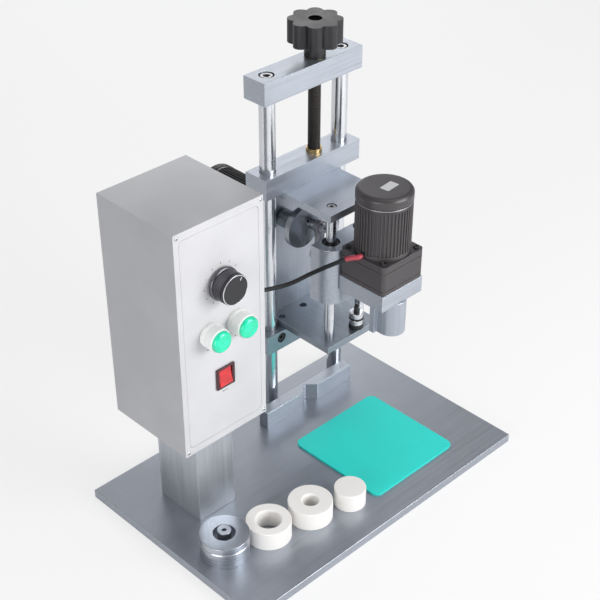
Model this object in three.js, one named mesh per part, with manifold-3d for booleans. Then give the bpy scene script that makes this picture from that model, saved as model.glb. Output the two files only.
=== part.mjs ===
// Bench-top screw-capping machine.
//
// Millimetres, +Z up, +X to the operator's right, +Y to the back. The origin is the centre of the
// base plate's underside. Two columns and a top beam stand on the base. A head, lifted by a
// leadscrew, slides on the columns. In the head a slide block runs on two guide rods and is moved
// by a crank disc, a link and a gearmotor at the back. The slide block carries the capping motor
// and its spindle.

import * as THREE from 'three';
import { mergeVertices } from 'three/addons/utils/BufferGeometryUtils.js';
import Module from 'manifold-3d';

const wasm = await Module();
wasm.setup();

// ------------------------------------------------------------------ driving dimensions

const GAP = 0.3; // clearance between pieces that meet without moving
const RUN = 0.4; // radial clearance of pieces that slide or turn on each other

const base = { width: 580, depth: 372, thickness: 15 };

const column = { radius: 12.5, centreX: 138, halfSpacing: 77, y: 151 };
const beam = { width: 204, depth: 45 };
const topBeam = { z: 584, height: 36 };
const beamBolt = { radius: 6, headRadius: 9.5, headHeight: 12, length: 50, socket: 10, socketDepth: 6 };
const boltPocket = { radius: 12, depth: 13 };

const leadscrew = { offsetX: 22, radius: 10, journalRadius: 8, bottomZ: 372 };
const screwBush = { radius: 15 };
const starKnob = { hubRadius: 16.5, hubHeight: 22, radius: 41.5, height: 36, lobes: 8, lobeDepth: 8 };

const headBeam = { height: 35, upperZ: 429, lowerZ: 141 };
const headPlate = { left: 75, right: 193, frontY: 30, thickness: 12 };
const backPlate = { thickness: 10 };
const nut = { radius: 12.5, rise: 6 };
const clampScrew = { offsetX: 6, z: 22, headRadius: 8, headHeight: 6, radius: 5, socket: 6 };
const plateScrew = { pocketRadius: 6, pocketDepth: 7, spacing: 49 };

const slide = { centreX: 134, rodHalfSpacing: 34.5, rodY: 52, noseRadius: 29, backY: 67, z: 269, height: 97 };
const guideRod = { radius: 8 };
const rodScrew = { radius: 4, headRadius: 6.5, headHeight: 7, length: 30, socket: 6, socketDepth: 4 };
const guideBush = { radius: 14, inset: 2 };
const stop = {
  radius: 4,
  length: 42,
  footRadius: 12,
  footHeight: 8,
  nutRadius: 11.2,
  rodGap: 1,
  bearing: 211.6,
};
const stopNutHeights = [9.5, 12.5];

const crank = { x: 103.4, z: 362.6, radius: 34, thickness: 11, frontY: 114, hubRadius: 15, shaftRadius: 7.5 };
const crankShaftEntry = 12; // length of the crank's shaft inside the lift gearbox
const crankThrow = 20;
const crankPin = { radius: 6, collarRadius: 9, headHeight: 5 };
const link = { length: 50, thickness: 10, frontY: 95, topRadius: 11.5, footRadius: 12.5, width: 13 };
// The link's lower eye is wider than its bolt: the crank linkage is open at this pivot.
const linkFoot = { boltRadius: 4.5, play: 2.8, shiftX: -2.4, headRadius: 9, headHeight: 5 };

const motor = { size: 90, gearHeight: 50, radius: 43.5, bodyHeight: 104, cornerRadius: 7, y: -22.5 };
const motorCap = { height: 16, groove: 1.2, edge: 5 };
const motorBracket = { height: 28 };
const spindle = { offsetY: -25.5, radius: 7.5, sleeveRadius: 15.7, socketRadius: 6, socketDepth: 30 };
const nose = { radius: 22, height: 59, flat: 10, flangeHalfWidth: 29, flangeDepth: 10 };

const liftMotor = { dropZ: 12.6, gearLength: 50, bodyLength: 104 };

const post = { width: 72, depth: 93, wall: 3, y: 60.5 };
const box = { width: 157, depth: 158, height: 368, wall: 2.5, x: -181, y: 64.5, z: 185 };
const panel = { width: 139, height: 343, thickness: 2, recess: 2.3, corner: 8, ledge: 10, frame: 2.7 };
const speedKnob = { z: 80.5, radius: 25, faceRadius: 23.5, height: 26, shaftRadius: 3, standOff: 3 };
const speedPot = { radius: 12, depth: 16, bushRadius: 5 };
const button = { z: 7, halfSpacing: 25, radius: 16, reach: 7, stemRadius: 6, travel: 3 };
const buttonHousing = {
  radius: 18,
  reach: 24,
  barrelRadius: 11,
  barrelLength: 22,
  blockSize: 30,
  blockDepth: 28,
};
const rocker = { z: -77, width: 34, height: 36, rim: 3, flange: 2.5, depth: 22, radius: 14, restTilt: 9 };
const controller = { width: 90, height: 130, depth: 36 };
const gland = { radius: 10, nutRadius: 8, reach: 20, hole: 6, plate: 5 };
const motorGland = { y: 94, z: 323 };
const mainsGlandZ = 215;

const locator = { width: 198, depth: 20, height: 32, x: 110, frontY: 105 };
const notch = { x: 111, half: 18.5, depth: 14, root: 2 }; // the locator's V
const mat = { size: 185, thickness: 3, corner: 12, x: 109.5, y: -46 };
const insert = { radius: 35, height: 32, largeBore: 19, smallBore: 12.5, solidRadius: 25 };
const chuck = {
  radius: 38,
  height: 40,
  recessRadius: 17,
  recessDepth: 20,
  stubRadius: 10.5,
  stubHeight: 46,
  hole: 3.5,
};

const cable = { radius: 3.5, sides: 8, exit: 4.6 };
const cableSplit = { x: 21, y: 62, z: 320 }; // where the cable's moving part ends

// ------------------------------------------------------------------ places worked out from them

const floorZ = base.thickness; // top of the base plate, on which everything stands
const columnX = [column.centreX - column.halfSpacing, column.centreX + column.halfSpacing];
const beamFrontY = column.y - beam.depth / 2;
const beamBackY = column.y + beam.depth / 2;
const screwX = column.centreX + leadscrew.offsetX;
const topBeamTopZ = topBeam.z + topBeam.height;
const upperBeamTopZ = headBeam.upperZ + headBeam.height;
const upperPlateZ = headBeam.upperZ - headPlate.thickness;
const lowerPlateZ = headBeam.lowerZ + headBeam.height;
const lowerPlateTopZ = lowerPlateZ + headPlate.thickness;
const plateX = (headPlate.left + headPlate.right) / 2;
const plateWidth = headPlate.right - headPlate.left;
const plateDepth = beamBackY - headPlate.frontY;
const backPlateY = beamBackY - backPlate.thickness;
const rodX = [slide.centreX - slide.rodHalfSpacing, slide.centreX + slide.rodHalfSpacing];
const slideFrontY = slide.rodY - slide.noseRadius;
const motorZ = slide.z + 55; // seat of the capping motor on its bracket
const bracketZ = motorZ - motorBracket.height;
const noseBore = spindle.sleeveRadius + RUN;
const spindleY = motor.y + spindle.offsetY;
const noseZ = bracketZ - nose.height;
const boxFrontY = box.y - box.depth / 2;
const boxBackY = box.y + box.depth / 2;
const boxRightX = box.x + box.width / 2;
const panelZ = box.z + box.height / 2;

// ------------------------------------------------------------------ shapes and booleans

const ROUND = 32; // sides of a large round
const SMALL = 16; // sides of a small round

function block(width, depth, height) {
  return new THREE.BoxGeometry(width, depth, height).translate(0, 0, height / 2);
}

function rod(radius, length, sides = ROUND) {
  return new THREE.CylinderGeometry(radius, radius, length, sides)
    .rotateX(Math.PI / 2)
    .translate(0, 0, length / 2);
}

// A turned piece about Z. Each point is [radius, height], from the bottom of its outside upwards.
function turned(points, sides = ROUND) {
  const profile = points.map(([radius, height]) => new THREE.Vector2(radius, height));
  return new THREE.LatheGeometry(profile, sides).rotateX(Math.PI / 2);
}

function ring(outer, inner, height, sides = ROUND) {
  return turned([[inner, 0], [outer, 0], [outer, height], [inner, height], [inner, 0]], sides);
}

// A flat outline in X and Y, raised along Z.
function raised(outline, height, curveSegments = 5) {
  return new THREE.ExtrudeGeometry(outline, { depth: height, bevelEnabled: false, curveSegments });
}

function roundedRectangle(width, height, radius) {
  const x = width / 2;
  const y = height / 2;
  const outline = new THREE.Shape();
  outline.moveTo(-x + radius, -y);
  outline.lineTo(x - radius, -y);
  outline.absarc(x - radius, -y + radius, radius, -Math.PI / 2, 0, false);
  outline.lineTo(x, y - radius);
  outline.absarc(x - radius, y - radius, radius, 0, Math.PI / 2, false);
  outline.lineTo(-x + radius, y);
  outline.absarc(-x + radius, y - radius, radius, Math.PI / 2, Math.PI, false);
  outline.lineTo(-x, -y + radius);
  outline.absarc(-x + radius, -y + radius, radius, Math.PI, Math.PI * 1.5, false);
  return outline;
}

// Turns a piece built along +Z so that it points to the operator, along -Y.
function facingFront(geometry) {
  return geometry.rotateX(Math.PI / 2);
}

function toSolid(geometry) {
  const bare = geometry.clone();
  bare.deleteAttribute('normal');
  bare.deleteAttribute('uv');
  const merged = mergeVertices(bare, 1e-4);
  return new wasm.Manifold(new wasm.Mesh({
    numProp: 3,
    vertProperties: new Float32Array(merged.attributes.position.array),
    triVerts: new Uint32Array(merged.index.array),
  }));
}

function toGeometry(solid) {
  const mesh = solid.getMesh();
  const geometry = new THREE.BufferGeometry();
  geometry.setAttribute('position', new THREE.BufferAttribute(new Float32Array(mesh.vertProperties), 3));
  geometry.setIndex(new THREE.BufferAttribute(new Uint32Array(mesh.triVerts), 1));
  return geometry;
}

function cut(geometry, ...tools) {
  return toGeometry(tools.reduce((solid, tool) => solid.subtract(toSolid(tool)), toSolid(geometry)));
}

function join(geometry, ...others) {
  return toGeometry(others.reduce((solid, other) => solid.add(toSolid(other)), toSolid(geometry)));
}

// ------------------------------------------------------------------ materials

function finish(color, roughness, metalness) {
  return { color, roughness, metalness };
}

const FINISHES = {
  satinAluminium: finish(0xb9bcc2, 0.42, 0.9),
  darkAluminium: finish(0x8d9098, 0.45, 0.9),
  chrome: finish(0xe6e7ea, 0.12, 1),
  steel: finish(0x9a9ba0, 0.35, 1),
  blackSteel: finish(0x232326, 0.45, 0.8),
  brass: finish(0xb98a45, 0.35, 1),
  boxPaint: finish(0x6c727a, 0.5, 0.2),
  panelPaint: finish(0xd9d7d6, 0.5, 0.1),
  motorPaint: finish(0x4c4845, 0.5, 0.4),
  blackPlastic: finish(0x17171a, 0.5, 0),
  greenLens: finish(0x19d98a, 0.25, 0),
  redLens: finish(0xd61f1f, 0.25, 0),
  whitePlastic: finish(0xf3f1ea, 0.5, 0),
  rubber: finish(0x16161a, 0.8, 0),
  matRubber: finish(0x17c5a8, 0.7, 0),
  circuitCase: finish(0x2d3d33, 0.6, 0),
};

const group = new THREE.Group();

function place(name, geometry, finishName, x, y, z) {
  const mesh = new THREE.Mesh(geometry, new THREE.MeshStandardMaterial(FINISHES[finishName]));
  mesh.name = name;
  mesh.position.set(x, y, z);
  group.add(mesh);
  return mesh;
}

const SIDES = ['left', 'right'];

// ------------------------------------------------------------------ frame

function capScrew({ radius, headRadius, headHeight, length, socket, socketDepth }) {
  const body = turned([
    [0, -length],
    [radius, -length],
    [radius, 0],
    [headRadius, 0],
    [headRadius, headHeight],
    [0, headHeight],
  ], SMALL);
  const key = rod(socket / Math.sqrt(3), socketDepth + 1, 6).translate(0, 0, headHeight - socketDepth);
  return cut(body, key);
}

function makeFrame() {
  place('base_plate', block(base.width, base.depth, base.thickness), 'satinAluminium', 0, 0, 0);

  const columnHeight = topBeam.z - floorZ;
  const seatZ = topBeamTopZ - boltPocket.depth;
  const tapped = beamBolt.length - (seatZ - topBeam.z) + 2;
  const holeRadius = beamBolt.radius + GAP;
  SIDES.forEach((side, i) => {
    const shaft = cut(
      rod(column.radius, columnHeight),
      rod(holeRadius, tapped + 1, SMALL).translate(0, 0, columnHeight - tapped),
    );
    place(`column_${side}`, shaft, 'chrome', columnX[i], column.y, floorZ);
    place(`beam_bolt_${side}`, capScrew(beamBolt), 'blackSteel', columnX[i], column.y, seatZ);
  });

  const tools = [rod(screwBush.radius + GAP, topBeam.height + 2).translate(leadscrew.offsetX, 0, -1)];
  for (const x of [-column.halfSpacing, column.halfSpacing]) {
    tools.push(rod(holeRadius, topBeam.height + 2, SMALL).translate(x, 0, -1));
    const pocket = rod(boltPocket.radius, boltPocket.depth + 1);
    tools.push(pocket.translate(x, 0, topBeam.height - boltPocket.depth));
  }
  const topBeamShape = cut(block(beam.width, beam.depth, topBeam.height), ...tools);
  place('top_beam', topBeamShape, 'satinAluminium', column.centreX, column.y, topBeam.z);
}

// ------------------------------------------------------------------ leadscrew and its knob

function makeLeadscrew() {
  const bore = leadscrew.journalRadius + RUN;
  const bush = ring(screwBush.radius, bore, topBeam.height);
  place('screw_bush', bush, 'brass', screwX, column.y, topBeam.z);

  const shoulder = topBeam.z - GAP;
  const journalTop = topBeamTopZ + starKnob.hubHeight;
  const shaft = turned([
    [0, leadscrew.bottomZ],
    [leadscrew.radius - 2, leadscrew.bottomZ],
    [leadscrew.radius, leadscrew.bottomZ + 2],
    [leadscrew.radius, shoulder],
    [leadscrew.journalRadius, shoulder],
    [leadscrew.journalRadius, journalTop],
    [0, journalTop],
  ]);
  place('leadscrew', shaft, 'blackSteel', screwX, column.y, 0);

  const outline = new THREE.Shape();
  const steps = starKnob.lobes * 8;
  for (let i = 0; i < steps; i += 1) {
    const angle = (i / steps) * Math.PI * 2;
    const radius = starKnob.radius - starKnob.lobeDepth * (1 - Math.cos(angle * starKnob.lobes)) / 2;
    const x = radius * Math.cos(angle);
    const y = radius * Math.sin(angle);
    if (i === 0) outline.moveTo(x, y);
    else outline.lineTo(x, y);
  }
  const grip = raised(outline, starKnob.height).translate(0, 0, starKnob.hubHeight);
  const knob = cut(
    join(grip, rod(starKnob.hubRadius, starKnob.hubHeight + 2)),
    rod(leadscrew.journalRadius + GAP, starKnob.hubHeight + GAP + 1, ROUND).translate(0, 0, -1),
  );
  place('star_knob', knob, 'blackPlastic', screwX, column.y, topBeamTopZ + GAP);
}

// ------------------------------------------------------------------ head

function headBeamShape(...tools) {
  const bores = [-column.halfSpacing, column.halfSpacing].map((x) => (
    rod(column.radius + RUN, headBeam.height + 2).translate(x, 0, -1)
  ));
  return cut(block(beam.width, beam.depth, headBeam.height), ...bores, ...tools);
}

function makeHead() {
  const nutHole = rod(nut.radius + GAP, headBeam.height + 2).translate(leadscrew.offsetX, 0, -1);
  place('head_upper_beam', headBeamShape(nutHole), 'satinAluminium', column.centreX, column.y,
    headBeam.upperZ);

  const nutShape = ring(nut.radius, leadscrew.radius + RUN, headBeam.height + nut.rise);
  place('leadscrew_nut', nutShape, 'brass', screwX, column.y, headBeam.upperZ);

  // The clamp screw locks the head: it presses on the left column from the lower beam's front.
  const screwDepth = beam.depth / 2 - column.radius - RUN;
  const screwPlaceX = clampScrew.offsetX - column.halfSpacing;
  const pocket = facingFront(rod(clampScrew.headRadius + 1, clampScrew.headHeight + 1, SMALL));
  pocket.translate(screwPlaceX, clampScrew.headHeight - beam.depth / 2, clampScrew.z);
  const thread = facingFront(rod(clampScrew.radius + GAP, beam.depth / 2, SMALL));
  thread.translate(screwPlaceX, 0, clampScrew.z);
  place('head_lower_beam', headBeamShape(pocket, thread), 'satinAluminium', column.centreX, column.y,
    headBeam.lowerZ);
  const screw = facingFront(capScrew({
    radius: clampScrew.radius,
    headRadius: clampScrew.headRadius,
    headHeight: clampScrew.headHeight - 1,
    length: screwDepth - clampScrew.headHeight - GAP,
    socket: clampScrew.socket,
    socketDepth: 3,
  }));
  place('clamp_screw', screw, 'blackSteel', column.centreX + screwPlaceX,
    beamFrontY + clampScrew.headHeight, headBeam.lowerZ + clampScrew.z);

  const plateY = (headPlate.frontY + beamBackY) / 2;
  const rodHoles = (radius, depth) => rodX.map((x) => (
    rod(radius, depth + 1, SMALL).translate(x - plateX, slide.rodY - plateY, headPlate.thickness - depth)
  ));
  const screwHole = rod(leadscrew.radius + 3, headPlate.thickness + 2)
    .translate(screwX - plateX, column.y - plateY, -1);
  const upper = cut(
    block(plateWidth, plateDepth, headPlate.thickness),
    ...rodHoles(rodScrew.headRadius + 1.5, rodScrew.headHeight + 1),
    ...rodHoles(rodScrew.radius + GAP, headPlate.thickness + 1),
    screwHole,
  );
  place('upper_plate', upper, 'satinAluminium', plateX, plateY, upperPlateZ);

  const pockets = [-1, 0, 1].map((i) => (
    rod(plateScrew.pocketRadius, plateScrew.pocketDepth + 1, SMALL).translate(
      i * plateScrew.spacing,
      column.y - plateY - 4,
      headPlate.thickness - plateScrew.pocketDepth,
    )
  ));
  const lower = cut(block(plateWidth, plateDepth, headPlate.thickness), ...pockets);
  place('lower_plate', lower, 'darkAluminium', plateX, plateY, lowerPlateZ);

  const window = upperPlateZ - lowerPlateTopZ;
  const shaftHole = rod(crank.shaftRadius + 5, backPlate.thickness + 2)
    .rotateX(Math.PI / 2)
    .translate(crank.x - plateX, backPlate.thickness / 2 + 1, crank.z - lowerPlateTopZ);
  place('back_plate', cut(block(plateWidth, backPlate.thickness, window), shaftHole), 'satinAluminium',
    plateX, beamBackY - backPlate.thickness / 2, lowerPlateTopZ);

  const tapped = rodScrew.length - (headPlate.thickness - rodScrew.headHeight - 1) + 2;
  SIDES.forEach((side, i) => {
    const guide = cut(
      rod(guideRod.radius, window),
      rod(rodScrew.radius + GAP, tapped + 1, SMALL).translate(0, 0, window - tapped),
    );
    place(`guide_rod_${side}`, guide, 'chrome', rodX[i], slide.rodY, lowerPlateTopZ);
    place(`rod_screw_${side}`, capScrew(rodScrew), 'blackSteel', rodX[i], slide.rodY,
      headBeam.upperZ - rodScrew.headHeight - 1);
  });

  // A threaded stop with two nuts, which limits how far down the slide block can be set.
  // It stands clear of the right guide rod, at a bearing in degrees from the rod's axis.
  const stopReach = guideRod.radius + stop.footRadius + stop.rodGap;
  const bearing = THREE.MathUtils.degToRad(stop.bearing);
  const stopX = rodX[1] + stopReach * Math.cos(bearing);
  const stopY = slide.rodY + stopReach * Math.sin(bearing);
  const stopShape = turned([
    [0, 0],
    [stop.footRadius, 0],
    [stop.footRadius, stop.footHeight],
    [stop.radius, stop.footHeight],
    [stop.radius, stop.length],
    [0, stop.length],
  ]);
  place('stop_bolt', stopShape, 'blackSteel', stopX, stopY, lowerPlateTopZ);
  const [lowerNut, upperNut] = stopNutHeights;
  const nutZ = lowerPlateTopZ + stop.footHeight;
  place('stop_nut_lower', ring(stop.nutRadius, stop.radius + GAP, lowerNut, SMALL), 'steel', stopX, stopY,
    nutZ);
  place('stop_nut_upper', ring(stop.nutRadius, stop.radius + GAP, upperNut, SMALL), 'steel', stopX, stopY,
    nutZ + lowerNut);
}

// ------------------------------------------------------------------ gearmotors

// A square gearbox with rounded corners, from z = 0 up.
function gearboxShape(height) {
  return raised(roundedRectangle(motor.size, motor.size, motor.cornerRadius), height, 5);
}

// The motor's round body with its end cap, from z = 0 up.
function motorShape(height) {
  const r = motor.radius;
  const capZ = height - motorCap.height;
  return turned([
    [0, 0],
    [r, 0],
    [r, capZ - 6],
    [r - motorCap.groove, capZ - 5],
    [r - motorCap.groove, capZ],
    [r + 0.5, capZ + 1],
    [r + 0.5, height - motorCap.edge],
    [r - 1, height - 2],
    [r - motorCap.edge, height],
    [0, height],
  ]);
}

// ------------------------------------------------------------------ slide block and capping motor

function makeSlide() {
  const outline = new THREE.Shape();
  const half = slide.rodHalfSpacing;
  const nose = slide.noseRadius;
  outline.moveTo(-half - nose, slide.backY - slide.rodY);
  outline.lineTo(-half - nose, 0);
  outline.absarc(-half, 0, nose, Math.PI, Math.PI * 1.5, false);
  outline.lineTo(half, -nose);
  outline.absarc(half, 0, nose, -Math.PI / 2, 0, false);
  outline.lineTo(half + nose, slide.backY - slide.rodY);
  const bores = [-half, half].map((x) => rod(guideBush.radius + GAP, slide.height + 2).translate(x, 0, -1));
  const blockShape = cut(raised(outline, slide.height, 10), ...bores);
  place('slide_block', blockShape, 'satinAluminium', slide.centreX, slide.rodY, slide.z);

  SIDES.forEach((side, i) => {
    const sleeve = ring(guideBush.radius, guideRod.radius + RUN, slide.height - 2 * guideBush.inset);
    place(`bush_${side}`, sleeve, 'blackPlastic', rodX[i], slide.rodY, slide.z + guideBush.inset);
  });

  const bracketFrontY = motor.y - motor.size / 2;
  const bracketDepth = slideFrontY - GAP - bracketFrontY;
  const bracketY = bracketFrontY + bracketDepth / 2;
  const bracket = cut(
    block(motor.size, bracketDepth, motorBracket.height),
    rod(noseBore, motorBracket.height + 2).translate(0, spindleY - bracketY, -1),
  );
  place('motor_bracket', bracket, 'satinAluminium', slide.centreX, bracketY, bracketZ);

  place('capping_gearbox', gearboxShape(motor.gearHeight), 'motorPaint', slide.centreX, motor.y, motorZ);
  place('capping_motor', motorShape(motor.bodyHeight), 'motorPaint',
    slide.centreX, motor.y, motorZ + motor.gearHeight);

  const linkX = crank.x + crankThrow + linkFoot.shiftX;
  const linkBack = link.frontY + link.thickness;
  const bolt = turned([
    [0, 0],
    [linkFoot.headRadius + 2, 0],
    [linkFoot.headRadius + 2, link.frontY - slide.backY - 1],
    [linkFoot.boltRadius, link.frontY - slide.backY - 1],
    [linkFoot.boltRadius, linkBack - slide.backY + 1],
    [linkFoot.headRadius, linkBack - slide.backY + 1],
    [linkFoot.headRadius, linkBack - slide.backY + 1 + linkFoot.headHeight],
    [0, linkBack - slide.backY + 1 + linkFoot.headHeight],
  ], SMALL).rotateX(-Math.PI / 2);
  place('link_bolt', bolt, 'steel', linkX, slide.backY, crank.z - link.length);
}

function makeSpindle() {
  const flangeBackY = nose.flat + nose.flangeDepth;
  const outline = new THREE.Shape();
  outline.moveTo(nose.radius, nose.flat);
  outline.lineTo(nose.flangeHalfWidth, nose.flat);
  outline.lineTo(nose.flangeHalfWidth, flangeBackY);
  outline.lineTo(-nose.flangeHalfWidth, flangeBackY);
  outline.lineTo(-nose.flangeHalfWidth, nose.flat);
  outline.lineTo(-nose.radius, nose.flat);
  outline.lineTo(-nose.radius, 0);
  outline.absarc(0, 0, nose.radius, Math.PI, Math.PI * 2, false);
  const housing = cut(raised(outline, nose.height, 16), rod(noseBore, nose.height + 2).translate(0, 0, -1));
  place('spindle_housing', housing, 'satinAluminium', slide.centreX, spindleY, noseZ);

  const top = motorZ - GAP - noseZ;
  const shoulder = nose.height - 1;
  const shaft = turned([
    [0, 3 + spindle.socketDepth],
    [spindle.socketRadius, 3 + spindle.socketDepth],
    [spindle.socketRadius, 3],
    [spindle.sleeveRadius, 3],
    [spindle.sleeveRadius, shoulder],
    [spindle.radius, shoulder],
    [spindle.radius, top],
    [0, top],
  ]);
  place('spindle', shaft, 'steel', slide.centreX, spindleY, noseZ);
}

// ------------------------------------------------------------------ crank drive

function makeCrank() {
  const hubLength = backPlateY - 3 - (crank.frontY + crank.thickness);
  const shaftEnd = beamBackY - crank.frontY + crankShaftEntry;
  const disc = turned([
    [0, -shaftEnd],
    [crank.shaftRadius, -shaftEnd],
    [crank.shaftRadius, -crank.thickness - hubLength],
    [crank.hubRadius, -crank.thickness - hubLength],
    [crank.hubRadius, -crank.thickness],
    [crank.radius, -crank.thickness],
    [crank.radius, 0],
    [0, 0],
  ]);
  place('crank_disc', facingFront(disc), 'satinAluminium', crank.x, crank.frontY, crank.z);

  const collar = crank.frontY - (link.frontY + link.thickness) - GAP;
  const pin = turned([
    [0, GAP],
    [crankPin.collarRadius, GAP],
    [crankPin.collarRadius, collar],
    [crankPin.radius - RUN, collar],
    [crankPin.radius - RUN, collar + link.thickness + 2 * GAP],
    [crankPin.collarRadius, collar + link.thickness + 2 * GAP],
    [crankPin.collarRadius, collar + link.thickness + 2 * GAP + crankPin.headHeight],
    [0, collar + link.thickness + 2 * GAP + crankPin.headHeight],
  ], SMALL);
  place('crank_pin', facingFront(pin), 'steel', crank.x + crankThrow, crank.frontY, crank.z);

  const eyes = join(
    rod(link.topRadius, link.thickness),
    rod(link.footRadius, link.thickness).translate(0, -link.length, 0),
    block(link.width, link.length, link.thickness).translate(0, -link.length / 2, 0),
  );
  const bar = cut(
    eyes,
    rod(crankPin.radius, link.thickness + 2, SMALL).translate(0, 0, -1),
    rod(linkFoot.boltRadius + linkFoot.play, link.thickness + 2, SMALL).translate(0, -link.length, -1),
  );
  place('crank_link', facingFront(bar), 'steel', crank.x + crankThrow, link.frontY + link.thickness, crank.z);

  const gearZ = crank.z - liftMotor.dropZ;
  const gearbox = cut(
    gearboxShape(liftMotor.gearLength),
    rod(crank.shaftRadius + RUN, crankShaftEntry + 3)
      .translate(0, liftMotor.dropZ, liftMotor.gearLength - crankShaftEntry - 1),
  );
  place('lift_gearbox', facingFront(gearbox), 'motorPaint', crank.x, beamBackY + liftMotor.gearLength, gearZ);
  const body = motorShape(liftMotor.bodyLength).rotateX(-Math.PI / 2);
  place('lift_motor', body, 'motorPaint', crank.x, beamBackY + liftMotor.gearLength, gearZ);
}

// ------------------------------------------------------------------ control box

function panelHoles(depth, start) {
  const through = (radius, x, z) => facingFront(rod(radius, depth, SMALL)).translate(x, start, z);
  const rockerHole = block(rocker.width - 2 * rocker.rim, depth, rocker.height - 2 * rocker.rim)
    .translate(0, start - depth / 2, rocker.z - (rocker.height - 2 * rocker.rim) / 2);
  return [
    through(speedPot.bushRadius + GAP, 0, speedKnob.z),
    through(buttonHousing.barrelRadius + GAP, -button.halfSpacing, button.z),
    through(buttonHousing.barrelRadius + GAP, button.halfSpacing, button.z),
    rockerHole,
  ];
}

function makeControlBox() {
  const tube = cut(
    block(post.width, post.depth, box.z - floorZ),
    block(post.width - 2 * post.wall, post.depth - 2 * post.wall, box.z - floorZ + 2).translate(0, 0, -1),
  );
  place('box_post', tube, 'satinAluminium', box.x, post.y, floorZ);

  const inside = block(
    box.width - 2 * box.wall,
    box.depth - box.wall - panel.recess - panel.frame,
    box.height - 2 * box.wall,
  ).translate(0, (panel.recess + panel.frame - box.wall) / 2, box.wall);
  const recess = facingFront(raised(
    roundedRectangle(panel.width + 2 * GAP, panel.height + 2 * GAP, panel.corner), panel.recess + 1));
  recess.translate(0, panel.recess - box.depth / 2, box.height / 2);
  const opening = facingFront(raised(
    roundedRectangle(panel.width - 2 * panel.ledge, panel.height - 2 * panel.ledge, panel.corner), 20));
  opening.translate(0, 10 - box.depth / 2, box.height / 2);
  const sideHole = rod(gland.hole + GAP, 10, SMALL).rotateY(Math.PI / 2)
    .translate(box.width / 2 - 5, motorGland.y - box.y, motorGland.z - box.z);
  const backHole = rod(gland.hole + GAP, 10, SMALL).rotateX(-Math.PI / 2)
    .translate(0, box.depth / 2 - 5, mainsGlandZ - box.z);
  const shell = cut(block(box.width, box.depth, box.height), inside, recess, opening, sideHole, backHole);
  place('box_shell', shell, 'boxPaint', box.x, box.y, box.z);

  const face = cut(
    facingFront(raised(roundedRectangle(panel.width, panel.height, panel.corner), panel.thickness)),
    ...panelHoles(panel.thickness + 2, 1),
  );
  place('control_panel', face, 'panelPaint', box.x, boxFrontY + panel.thickness, panelZ);

  const glandShape = turned([
    [0, -box.wall - 4],
    [gland.hole, -box.wall - 4],
    [gland.hole, GAP],
    [gland.radius, GAP],
    [gland.radius, gland.plate],
    [gland.nutRadius, gland.plate + 1],
    [gland.nutRadius, gland.reach - 5],
    [gland.nutRadius - 3, gland.reach],
    [0, gland.reach],
  ], SMALL);
  place('motor_gland', glandShape.clone().rotateY(Math.PI / 2), 'blackPlastic', boxRightX,
    motorGland.y, motorGland.z);
  place('mains_gland', glandShape.clone().rotateX(-Math.PI / 2), 'blackPlastic', box.x, boxBackY,
    mainsGlandZ);

  place('speed_controller', block(controller.width, controller.depth, controller.height), 'circuitCase',
    box.x, boxBackY - box.wall - controller.depth / 2 - GAP, panelZ - controller.height / 2 + 60);
}

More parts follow.
